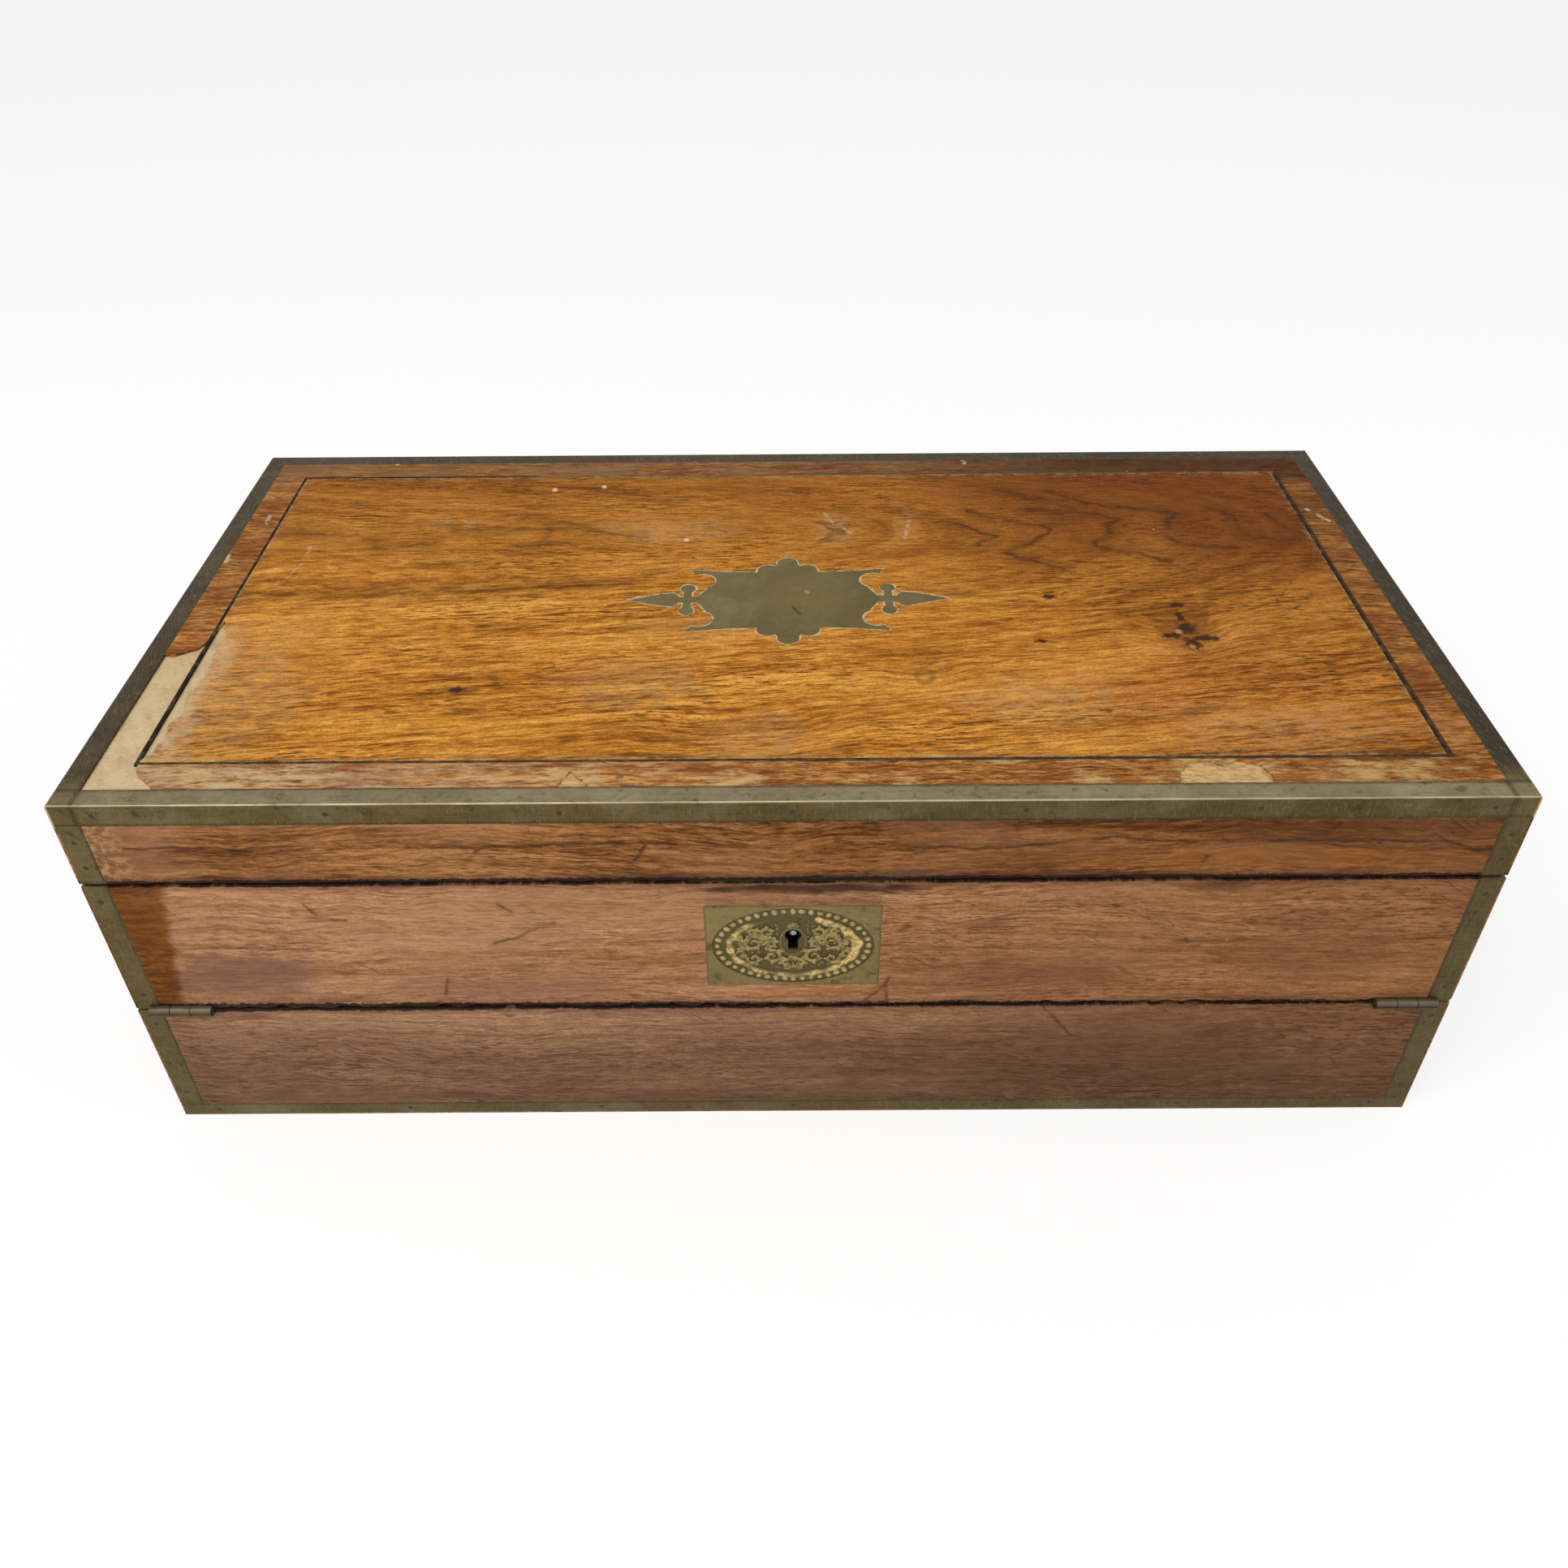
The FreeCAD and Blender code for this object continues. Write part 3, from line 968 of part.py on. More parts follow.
def build_inkwells():
    """Two square glass inkwells with hinged brass caps."""
    x, y = ink_centre()
    low = DUST_BOARD_TOP + REST_GAP
    half = INKWELL_SIDE / 2
    glass = block(x - half, x + half, y - half, y + half, low, low + INKWELL_HEIGHT)
    top_edges = [edge for edge in glass.Edges
                 if edge.BoundBox.ZMin > low + INKWELL_HEIGHT - 0.1 or edge.BoundBox.ZLength > 1]
    glass = glass.makeChamfer(INKWELL_CHAMFER, top_edges)
    top = low + INKWELL_HEIGHT
    bore = Part.makeCylinder(INK_BORE_RADIUS, INK_BORE_DEPTH + COLLAR_HEIGHT + 1,
                             Vec(x, y, top - INK_BORE_DEPTH))
    glass = less(glass, [bore])

    lug_y = y + COLLAR_RADIUS + CAP_LUG_OFFSET
    axis = Vec(x, lug_y, top + COLLAR_HEIGHT + CAP_GAP / 2)
    collar = less(Part.makeCylinder(COLLAR_RADIUS, COLLAR_HEIGHT, Vec(x, y, top)), [bore])
    seam = top + COLLAR_HEIGHT
    ear_width = CAP_LUG_WIDTH / 3
    ears = []
    for side in (-1, 1):
        ear_x = x + side * ear_width
        arm = block(ear_x - ear_width / 2 + CAP_GAP / 2, ear_x + ear_width / 2 - CAP_GAP / 2,
                    y + INK_BORE_RADIUS + 0.5, lug_y, top, seam)
        ears += [arm, rod(Vec(ear_x, lug_y, axis.z), X_AXIS, CAP_LUG_RADIUS, ear_width - CAP_GAP)]
    pin_hole = rod(axis, X_AXIS, CAP_PIN_RADIUS + CAP_PIN_FIT, 2 * CAP_LUG_WIDTH)
    swing = rod(axis, X_AXIS, CAP_LUG_RADIUS + CAP_GAP, ear_width + CAP_GAP)
    collar = less(fused([collar] + ears), [pin_hole, swing])

    cap_low = seam + CAP_GAP
    cap = Part.makeCylinder(CAP_RADIUS, CAP_HEIGHT, Vec(x, y, cap_low))
    rim = [edge for edge in cap.Edges if edge.BoundBox.ZMin > cap_low + CAP_HEIGHT - 0.1]
    cap = cap.makeFillet(CAP_ROUND, rim)
    arm = block(x - ear_width / 2 + CAP_GAP / 2, x + ear_width / 2 - CAP_GAP / 2,
                y + CAP_RADIUS - 2, lug_y, cap_low, cap_low + CAP_LUG_RADIUS)
    lug = rod(axis, X_AXIS, CAP_LUG_RADIUS, ear_width - CAP_GAP)
    ear_room = [rod(Vec(x + side * ear_width, lug_y, axis.z), X_AXIS, CAP_LUG_RADIUS + CAP_GAP,
                    ear_width + CAP_GAP / 2) for side in (-1, 1)]
    cap = less(cap, ear_room)
    axle = rod(axis, X_AXIS, CAP_PIN_RADIUS, CAP_LUG_WIDTH)
    cap = fused([cap, arm, lug, axle])

    for name, shape in (("inkwell", glass), ("inkwell_collar", collar), ("inkwell_cap", cap)):
        write(f"left_{name}", [shape])
        write(f"right_{name}", [flipped_x(shape)])


def main():
    """Builds every sub-part of the box."""
    os.makedirs("parts", exist_ok=True)
    build_case()
    build_pen_section()
    build_lock()
    build_flap()
    ring, strips = lid_strips()
    build_lid_top([ring] + strips)
    build_lid_walls(ring, strips)
    build_lid_lining()
    build_drawer()
    build_writing_board()
    build_tray()
    build_inkwells()


main()
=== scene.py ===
"""Looks of a brass-bound rosewood writing box with a drawer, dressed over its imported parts.

Meshes are in metres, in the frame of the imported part: x to the right, y to the back and z up, with
the keyhole side towards -y. The finishes count in millimetres, which suits grain and wear better.
"""

import logging
import math
import random
from contextlib import contextmanager
from dataclasses import dataclass, replace
from enum import Enum
from functools import lru_cache
from typing import Callable, Dict, Iterator, List, Optional, Sequence, Tuple, Union

import bmesh
import bpy
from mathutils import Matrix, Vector


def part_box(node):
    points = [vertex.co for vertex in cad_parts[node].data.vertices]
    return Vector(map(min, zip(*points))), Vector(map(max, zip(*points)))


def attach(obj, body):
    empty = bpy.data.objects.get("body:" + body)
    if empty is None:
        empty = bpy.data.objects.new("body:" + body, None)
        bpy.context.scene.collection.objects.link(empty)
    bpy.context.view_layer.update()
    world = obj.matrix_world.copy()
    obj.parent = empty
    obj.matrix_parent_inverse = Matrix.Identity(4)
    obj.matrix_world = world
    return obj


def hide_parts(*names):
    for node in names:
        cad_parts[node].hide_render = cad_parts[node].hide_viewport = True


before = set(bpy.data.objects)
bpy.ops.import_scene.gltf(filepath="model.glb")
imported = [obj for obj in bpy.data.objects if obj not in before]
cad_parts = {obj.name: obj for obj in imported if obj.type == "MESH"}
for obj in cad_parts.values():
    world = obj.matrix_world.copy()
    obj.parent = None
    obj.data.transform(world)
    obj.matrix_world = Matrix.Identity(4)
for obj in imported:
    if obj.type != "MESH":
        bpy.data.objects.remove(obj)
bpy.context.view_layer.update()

MM = 0.001
FAR_AWAY = 1000.0
LID_TOP = 166.0
LID_FOOT, FLAP_TOP, FLAP_FOOT, BASE_TOP = 130.3, 128.8, 65.1, 64.1
FIELD_EDGE = (227.0, 108.0)
LINE_OUTSIDE = (228.9, 109.0)
LINE_DIRT = (0.03, 0.018, 0.008)
Piece = bpy.types.Object
Material = bpy.types.Material
Colour = Point3 = Tuple[float, float, float]
Point2 = Tuple[float, float]
Paths = Tuple[Tuple[Point2, ...], ...]
Spots = Tuple[Tuple[Point2, Point2], ...]
Place = Tuple["Wire", "Wire", "Wire"]
LOG = logging.getLogger("writing_box")


# ------------------------------------------------------------------ shader sums
def _of_two(operation: str, swapped: bool = False) -> Callable[["Wire", "Value"], "Wire"]:
    """Makes the method of a Math operation on two terms.

    Args:
        operation: the node's operation.
        swapped: whether Python calls the method for the term on the right.

    Returns:
        The method.
    """
    def method(self: "Wire", other: "Value") -> "Wire":
        """One Math node on both terms."""
        return self.board.maths(operation, *((other, self) if swapped else (self, other)))
    return method


class Wire:
    """One output of a node, which takes part in Python sums."""

    def __init__(self, board: "Board", socket: bpy.types.NodeSocket) -> None:
        """Holds the socket and the board that it is on."""
        self.board = board
        self.socket = socket

    __add__ = __radd__ = _of_two("ADD")
    __sub__, __rsub__ = _of_two("SUBTRACT"), _of_two("SUBTRACT", True)
    __mul__ = __rmul__ = _of_two("MULTIPLY")
    __truediv__ = _of_two("DIVIDE")
    least, most = _of_two("MINIMUM"), _of_two("MAXIMUM")

    def __abs__(self) -> "Wire":
        """The size of this, without its sign."""
        return self.board.maths("ABSOLUTE", self)

    def sqrt(self) -> "Wire":
        """The square root of this."""
        return self.board.maths("SQRT", self)

    def held(self) -> "Wire":
        """This, kept between 0 and 1."""
        return self.board.node("ShaderNodeClamp", None, {0: self})

    def rise(self, start: float, stop: float) -> "Wire":
        """Goes smoothly from 0 at start to 1 at stop.

        Args:
            start: the value that gives 0; it may be the larger of the two.
            stop: the value that gives 1.

        Returns:
            The smooth step.
        """
        return self.board.node(
            "ShaderNodeMapRange", {"interpolation_type": "SMOOTHSTEP"},
            {0: self, 1: start, 2: stop, 3: 0.0, 4: 1.0}
        )

    def beside(self, index: int) -> "Wire":
        """Another output of the same node."""
        return Wire(self.board, self.socket.node.outputs[index])


Value = Union[Wire, float]


class Board:
    """The node tree of one finish, or of the surroundings."""

    def __init__(self, owner: Union[Material, bpy.types.World]) -> None:
        """Empties the tree of a new material or world."""
        owner.use_nodes = True
        self.owner = owner
        self.tree = owner.node_tree
        self.tree.nodes.clear()

    def node(
        self, kind: str, settings: Optional[Dict[str, object]] = None,
        sockets: Optional[Dict[Union[int, str], object]] = None, out: int = 0,
    ) -> Wire:
        """Adds one node.

        Args:
            kind: the node's type.
            settings: its properties; stops is a ramp's (position, colour) list.
            sockets: its inputs by name or place, as numbers, colours or wires.
            out: which output to return.

        Returns:
            The chosen output.
        """
        made = self.tree.nodes.new(kind)
        for name, value in (settings or {}).items():
            if name == "stops":
                self._set_stops(made.color_ramp, value)
            else:
                setattr(made, name, value)
        for key, value in (sockets or {}).items():
            target = made.inputs[key]
            if isinstance(value, Wire):
                self.tree.links.new(value.socket, target)
            elif isinstance(value, tuple) and target.type == "RGBA":
                target.default_value = (*value, 1.0)
            else:
                target.default_value = value
        return Wire(self, made.outputs[out] if len(made.outputs) else None)

    @staticmethod
    def _set_stops(ramp: bpy.types.ColorRamp, stops: Sequence[Tuple[float, Colour]]) -> None:
        """Gives a colour ramp its stops."""
        while len(ramp.elements) < len(stops):
            ramp.elements.new(0.5)
        for element, (place, colour) in zip(ramp.elements, stops):
            element.position = place
            element.color = (*colour, 1.0)

    def maths(self, operation: str, *terms: Value) -> Wire:
        """One Math node."""
        return self.node("ShaderNodeMath", {"operation": operation}, dict(enumerate(terms)))

    def vector(self, operation: str, *terms: object, out: int = 0) -> Wire:
        """One Vector Math node; a number stands for three equal parts."""
        return self.node("ShaderNodeVectorMath", {"operation": operation}, dict(enumerate(terms)), out)

    def parts(self, vector: Wire) -> Place:
        """The x, y and z of a vector."""
        first = self.node("ShaderNodeSeparateXYZ", None, {0: vector})
        return first, first.beside(1), first.beside(2)

    def place(self) -> Place:
        """Where a point of the surface is, in millimetres."""
        return self.parts(self.shade(self.node("ShaderNodeTexCoord", None, None, 3), 1.0 / MM))

    def facing(self) -> Place:
        """The surface's own normal in the object's frame."""
        return self.parts(self.node("ShaderNodeTexCoord", None, None, 1))

    def spot(self, x: Value, y: Value, z: Value) -> Wire:
        """A vector made from three numbers."""
        return self.node("ShaderNodeCombineXYZ", None, {0: x, 1: y, 2: z})

    def cloud(self, x: Value, y: Value, z: Value, detail: float = 2.0, rough: float = 0.5) -> Wire:
        """Soft noise from 0 to 1 whose lumps are about one unit apart."""
        return self.node(
            "ShaderNodeTexNoise", None,
            {"Vector": self.spot(x, y, z), "Scale": 1.0, "Detail": detail, "Roughness": rough},
        )

    def lumps(self, place: Place, scale: float, seed: float = 0.0, detail: float = 2.0,
              rough: float = 0.5) -> Wire:
        """Soft noise whose lumps are as long in every direction."""
        x, y, z = (part * scale for part in place)
        return self.cloud(x, y, z + seed if seed else z, detail, rough)

    def cells(self, x: Value, y: Value, z: Value) -> Wire:
        """The distance to the nearest of many scattered points; output 1 is that point's colour."""
        return self.node("ShaderNodeTexVoronoi", None, {"Vector": self.spot(x, y, z), "Scale": 1.0})

    def mix(self, share: Value, first: object, second: object, blend: str = "MIX") -> Wire:
        """Mixes two colours; a share of 1 gives the second."""
        return self.node("ShaderNodeMix", {"data_type": "RGBA", "blend_type": blend},
                         {0: share, 6: first, 7: second}, 2)

    def shade(self, colour: object, factor: Value) -> Wire:
        """A colour or vector times a number."""
        return self.node("ShaderNodeVectorMath", {"operation": "SCALE"}, {0: colour, 3: factor})

    def ramp(self, value: Value, stops: Sequence[Tuple[float, Colour]]) -> Wire:
        """A colour picked by value from evenly graded stops."""
        return self.node("ShaderNodeValToRGB", {"stops": stops}, {0: value})

    def relief(self, height: Value, depth_mm: float) -> Wire:
        """A normal from a height of 0 to 1 that is depth_mm deep."""
        return self.node("ShaderNodeBump", None,
                         {"Strength": 1.0, "Distance": depth_mm * MM, "Height": height})

    def far_from(self, spot: Wire, paths: Paths) -> Wire:
        """How far a flat spot is from the nearest of several lines.

        Args:
            spot: the place, with 0 for its third part.
            paths: the lines, each as its corners.

        Returns:
            The distance.
        """
        nearest: Value = FAR_AWAY
        for path in paths:
            for (x0, y0), (x1, y1) in zip(path, path[1:]):
                run, climb = x1 - x0, y1 - y0
                length2 = run * run + climb * climb
                from_start = self.vector("SUBTRACT", spot, (x0, y0, 0.0))
                share = self.vector("DOT_PRODUCT", from_start, (run / length2, climb / length2, 0.0),
                                    out=1).held()
                foot = self.shade((run, climb, 0.0), share)
                away = self.vector("LENGTH", self.vector("SUBTRACT", from_start, foot), out=1)
                nearest = away.least(nearest)
        return nearest

    def blot(self, x: Wire, y: Wire, centre: Point2, half: Point2, ragged: Value = 0.0) -> Wire:
        """1 in the middle of an oval patch, fading to 0 at its rim.

        Args:
            x: the first coordinate of the surface.
            y: the second coordinate.
            centre: the middle of the patch.
            half: its half width and half height.
            ragged: a value added to the distance, so that the rim isn't a clean oval.

        Returns:
            The mask.
        """
        across = (x - centre[0]) / half[0]
        up = (y - centre[1]) / half[1]
        return ((across * across + up * up).sqrt() + ragged).rise(1.0, 0.35)

    def surface(
        self, colour: object, rough: Value, normal: Optional[Wire] = None, **steady: object
    ) -> Material:
        """Ends the tree with one shader.

        Args:
            colour: the base colour.
            rough: the roughness.
            normal: a bumped normal.
            steady: other sockets of the shader by name, with _ for a space.

        Returns:
            The finished material.
        """
        sockets: Dict[Union[int, str], object] = {"Base Color": colour, "Roughness": rough}
        if normal is not None:
            sockets["Normal"] = normal
        sockets.update({name.replace("_", " "): value for name, value in steady.items()})
        shader = self.node("ShaderNodeBsdfPrincipled", None, sockets)
        self.node("ShaderNodeOutputMaterial", None, {0: shader})
        return self.owner


# ------------------------------------------------------------------ finishes
class Lay(Enum):
    """How a board lies: the axes along its grain, across it, and through the board."""

    FLAT = (0, 1, 2)
    FLAT_TURNED = (1, 0, 2)
    UPRIGHT = (0, 2, 1)
    END = (1, 2, 0)


@dataclass(frozen=True)
class Finish:
    """A finish by name. Each kind makes its own material."""

    name: str

    def material(self) -> Material:
        """The material of this finish, made once."""
        return made_material(self)

    def make(self, board: Board) -> Material:
        """Lays the finish out on an empty board."""
        raise NotImplementedError(self.name)


@lru_cache(maxsize=None)
def made_material(finish: Finish) -> Material:
    """The one material of a finish."""
    return finish.make(Board(bpy.data.materials.new(finish.name)))


@dataclass(frozen=True)
class Grain:
    """What the wood of one point looks like before wear."""

    colour: Wire
    height: Wire
    pores: Wire


@dataclass(frozen=True)
class Rosewood(Finish):
    """Old French-polished rosewood: broad bands, fine streaks, dark veins and open pores."""

    lay: Lay = Lay.FLAT
    seed: float = 0.0
    dark: Colour = (0.225, 0.067, 0.007)
    middle: Colour = (0.54, 0.205, 0.022)
    light: Colour = (0.82, 0.39, 0.07)
    pore_colour: Colour = (0.105, 0.03, 0.005)
    haze_colour: Colour = (0.5, 0.34, 0.22)
    band_share: float = 0.85
    streak_share: float = 1.25
    fibre_share: float = 1.3
    vein_share: float = 0.55
    pore_share: float = 0.85
    pale_share: float = 0.45
    haze_share: float = 0.25
    grit_share: float = 0.76
    sway: float = 5.0
    polish: float = 0.58

    def rings(self, board: Board, u: Wire, v: Wire) -> Tuple[Wire, Wire]:
        """Where a point is across the growth rings.

        Args:
            board: the tree.
            u: the distance along the grain.
            v: the distance across it.

        Returns:
            The distance across the broad rings, and across the fine fibres.
        """
        slow = board.cloud(u * 0.0075, v * 0.012, self.seed + 3.1, 2.0)
        kink = board.cloud(u * 0.03, v * 0.06, self.seed + 9.1, 2.0)
        ring = v + (slow - 0.5) * (self.sway * 4.0) + (kink - 0.5) * self.sway
        return ring, ring

    def calm(self, board: Board, u: Wire, v: Wire) -> Value:
        """How much of the figure is missing at a place, from 0 to 1."""
        return 0.0

    def grain(self, board: Board, u: Wire, ring: Wire, fine: Wire, w: Wire, calm: Value) -> Grain:
        """The bands, streaks, veins and pores of bare wood.

        Args:
            board: the tree.
            u: the distance along the grain.
            ring: the distance across the broad rings.
            fine: the distance across the fine fibres.
            w: the distance through the board.
            calm: how much of the figure is missing.

        Returns:
            The wood's colour, height and pores.
        """
        strong = board.maths("SUBTRACT", 1.0, calm)
        deep = w * 0.03 + self.seed
        bands = board.cloud(u * 0.0055, ring * 0.04, deep, 3.0, 0.55)
        streaks = board.cloud(u * 0.015, ring * 0.3, deep + 5.0, 3.0, 0.62)
        fibre = board.cloud(u * 0.13, fine * 0.8, deep + 9.0, 3.0, 0.7)
        tone = (bands - 0.5) * self.band_share + (streaks - 0.5) * self.streak_share
        tone = ((tone + (fibre - 0.5) * self.fibre_share) * strong + 0.5).held()
        colour = board.ramp(tone, ((0.2, self.dark), (0.5, self.middle), (0.8, self.light)))
        fold = abs(board.cloud(u * 0.006, ring * 0.07, deep + 20.0, 3.0) - 0.5)
        gate = board.cloud(u * 0.02, ring * 0.08, deep + 27.0, 2.0).rise(0.46, 0.66)
        vein = fold.rise(0.03, 0.004) * gate
        thick = board.cloud(u * 0.012, fine * 0.04, deep + 40.0, 3.0).rise(0.36, 0.62)
        short = board.cloud(u * 0.16, fine * 1.15, deep + 31.0, 2.0).rise(0.555, 0.64) * (0.3 + thick * 0.7)
        long = board.cloud(u * 0.05, fine * 0.85, deep + 37.0, 2.0).rise(0.585, 0.67) * (0.4 + thick * 0.6)
        pores = short.most(long) * (strong * 0.6 + 0.4)
        pale = board.cloud(u * 0.11, fine * 0.95, deep + 51.0, 2.0).rise(0.58, 0.7)
        colour = board.mix(pale * strong * self.pale_share, colour, self.light)
        colour = board.mix(vein * self.vein_share, colour, self.pore_colour)
        colour = board.mix(pores * self.pore_share, colour, self.pore_colour)
        height = 0.7 + (fibre - 0.5) * 0.3 - pores * 0.6 - vein * 0.15
        return Grain(colour, height, pores)

    def flecks(self, board: Board, x: Wire, y: Wire, z: Wire, size: float = 0.5) -> Wire:
        """A mask of scattered small specks of wax and dust."""
        near = board.cells(x * 0.075, y * 0.075, z * 0.075 + self.seed)
        chosen = board.parts(near.beside(1))
        return (near * 13.3).rise(size, size * 0.5) * chosen[0].rise(0.84, 0.9)

    def wear(self, board: Board, place: Place, colour: Wire, rough: Wire) -> Tuple[Wire, Wire]:
        """Adds what use has done to this piece of veneer; a plain piece has only haze."""
        x, y, z = place
        mist = board.cloud(x * 0.018, y * 0.03, z * 0.03 + self.seed, 4.0, 0.62).rise(0.52, 0.72)
        return board.mix(mist * self.haze_share, colour, self.haze_colour), rough + mist * 0.12

    def make(self, board: Board) -> Material:
        """Lays out wood, wear, dust and polish."""
        place = board.place()
        u, v, w = (place[i] for i in self.lay.value)
        ring, fine = self.rings(board, u, v)
        wood = self.grain(board, u, ring, fine, w, self.calm(board, u, v))
        grit = board.lumps(place, 0.95, 0.0, 2.0, 0.6)
        colour = board.shade(wood.colour, (grit - 0.5) * self.grit_share + 1.0)
        rough = self.polish + wood.pores * 0.25
        colour, rough = self.wear(board, place, colour, rough)
        specks = self.flecks(board, *place)
        colour = board.mix(specks * 0.8, colour, (0.72, 0.66, 0.55))
        normal = board.relief(wood.height + specks * 0.3, 0.16)
        return board.surface(colour, rough, normal, Specular_IOR_Level=0.06)


@dataclass(frozen=True)
class LidField(Rosewood):
    """The top's main sheet: arches that close at the back right, and straight dashed grain in front.

    Eyes, knots and blooms are ovals: the middle, the half size and, where it varies, the strength.
    Strokes, scratches, drops and scribbles are lines, each as its corners.
    """

    arch_middle: float = 54.0
    arch_start: float = -20.0
    arch_spread: float = 0.26
    arch_soft: float = 22.0
    eyes: Tuple[Tuple[Point2, Point2, float], ...] = (
        ((155, -31), (24, 20), 5), ((50, -59), (20, 12), 4), ((-18, -92), (46, 26), 4.5),
        ((106, -3), (12, 7), 3))
    strokes: Paths = (
        ((81, 71), (91, 64), (106, 59), (114, 56), (113, 50), (103, 42), (93, 34), (96, 30), (106, 25),
         (114, 19)),
        ((109, 73), (123, 70), (137, 68), (146, 63), (141, 56), (140, 49), (131, 41), (134, 37), (149, 33),
         (161, 24)),
        ((119, 91), (134, 78), (149, 74), (163, 71), (174, 68), (168, 63), (167, 56), (163, 49), (168, 42),
         (176, 38), (192, 37)),
        ((190, 72), (197, 66), (198, 59), (195, 48), (206, 45), (222, 42)), ((213, 66), (218, 55), (224, 48)),
        ((94, 92), (104, 88), (110, 82), (126, 81)), ((74, 59), (90, 48), (81, 39), (68, 33)),
        ((-224, 55), (-191, 53), (-181, 48), (-178, 40), (-155, 45)),
        ((-152, 61), (-143, 57), (-91, 57), (-62, 48)), ((-226, 5), (-192, 2), (-135, 5), (-66, 10)),
        ((-159, 25), (-138, 29)))
    knots: Spots = (
        ((155.5, -9), (4.6, 2.6)), ((155.5, -26.5), (5.4, 6.4)), ((154.8, -17.5), (2, 5)),
        ((149, -31.5), (6, 3)), ((161.5, -33.5), (7.5, 2.8)), ((155.5, -38), (4.6, 6)),
        ((105.6, -2.2), (3.8, 2.8)), ((-124.5, -65.4), (4, 3)), ((97, -35), (3.6, 2)))
    scratches: Paths = (
        ((-207.7, 45), (-207.5, 37)), ((-207.5, 28), (-211, 17), (-213.4, 11)), ((-236, 96), (-228, 108)),
        ((54, 66), (50, 46)), ((20, 62), (27, 52)), ((16, 70), (20, 60)), ((-146, 66), (-144, 64.5)))
    drops: Paths = (
        ((-108.5, 95.4), (-108.3, 94)), ((-85.9, 97.9), (-85.7, 96.9)), ((-214.6, 109), (-213.4, 108.6)),
        ((-44.9, 47.2), (-44.7, 46.4)))
    scribbles: Paths = (((196, -8), (207, 8)), ((203, -12), (213, -1)), ((-196.5, 69), (-195.5, 67)))
    blooms: Tuple[Tuple[Point2, Point2, float], ...] = (
        ((-52, 56), (46, 16), 0.85), ((20, 57), (12, 20), 0.9), ((52, 58), (8, 22), 0.5),
        ((93, -74), (42, 20), 0.9), ((-210, -66), (40, 62), 1), ((-12, -96), (36, 18), 0.8),
        ((-62, -62), (34, 24), 0.8), ((-150, 62), (30, 10), 0.4), ((176, -92), (56, 20), 0.8),
        ((-28, -24), (44, 14), 0.6))

    def rings(self, board: Board, u: Wire, v: Wire) -> Tuple[Wire, Wire]:
        """Broad rings that close to the right round one line; fibres that climb gently in front."""
        slow = board.cloud(u * 0.0062, v * 0.01, 4.4, 2.0)
        kink = board.cloud(u * 0.028, v * 0.05, 9.4, 2.0)
        spread = (u - self.arch_start).most(0.0) * self.arch_spread
        across = v - self.arch_middle
        ring = (across * across + spread * spread + self.arch_soft ** 2).sqrt()
        eyes: Value = 0.0
        for centre, half, push in self.eyes:
            eyes = eyes + board.blot(u, v, centre, half) * push
        sway = (slow - 0.5) * 18.0 + (kink - 0.5) * 3.0
        ring = ring + u * 0.09 - eyes + sway
        fine = v - u * 0.09 * v.rise(40.0, -10.0) + eyes * 0.8 - sway * 0.6
        return ring, fine

    def calm(self, board: Board, u: Wire, v: Wire) -> Value:
        """The back half is smoother, and smoothest between the arches."""
        return v.rise(-25.0, 55.0) * 0.3 + u.rise(40.0, 110.0) * v.rise(5.0, 35.0) * 0.22

    def figure(self, board: Board, x: Wire, y: Wire) -> Wire:
        """The dark lines of the grain: jagged arches at the back right and a few long strokes at the left."""
        jag = board.cloud(x * 0.11, y * 0.11, 51.0, 3.0, 0.6)
        sway = board.cloud(x * 0.11 + 40.0, y * 0.11, 53.0, 3.0, 0.6)
        spot = board.spot(x + (jag - 0.5) * 9.0, y + (sway - 0.5) * 8.0, 0.0)
        far = board.far_from(spot, self.strokes)
        broken = board.cloud(x * 0.06, y * 0.07, 59.0, 3.0, 0.6).rise(0.34, 0.58)
        left = x.rise(20.0, -20.0)
        return far.rise(2.3, 0.1) * (0.2 + broken * 0.52) * (1.0 - left * 0.3) + far.rise(9.0, 0.5) * 0.27

    def stains(self, board: Board, x: Wire, y: Wire, colour: Wire) -> Wire:
        """Knots: a star of dark bark at the right, smaller ones about it and one at the left."""
        ragged = (board.cloud(x * 0.42, y * 0.42, 2.0, 3.0, 0.6) - 0.5) * 2.2
        dark: Value = 0.0
        for centre, half in self.knots:
            dark = board.blot(x, y, centre, half, ragged * 0.75).most(dark)
        halo = board.blot(x, y, (155.5, -28.0), (17.0, 27.0), ragged * 0.5)
        colour = board.mix(halo * 0.5, colour, (0.2, 0.068, 0.008))
        colour = board.mix(dark * 0.94, colour, (0.03, 0.011, 0.005))
        for centre in ((155.0, -39.5), (152.0, -29.0)):
            dust = board.blot(x, y, centre, (1.9, 2.2), ragged * 0.4)
            colour = board.mix(dust * 0.7, colour, self.haze_colour)
        knot_x, knot_y = (x - 50.0) / 3.6, (y + 58.0) / 5.6
        knot = abs((knot_x * knot_x + knot_y * knot_y).sqrt() + ragged * 0.35 - 0.85)
        return board.mix(knot.rise(0.45, 0.08) * 0.5, colour, (0.19, 0.066, 0.01))

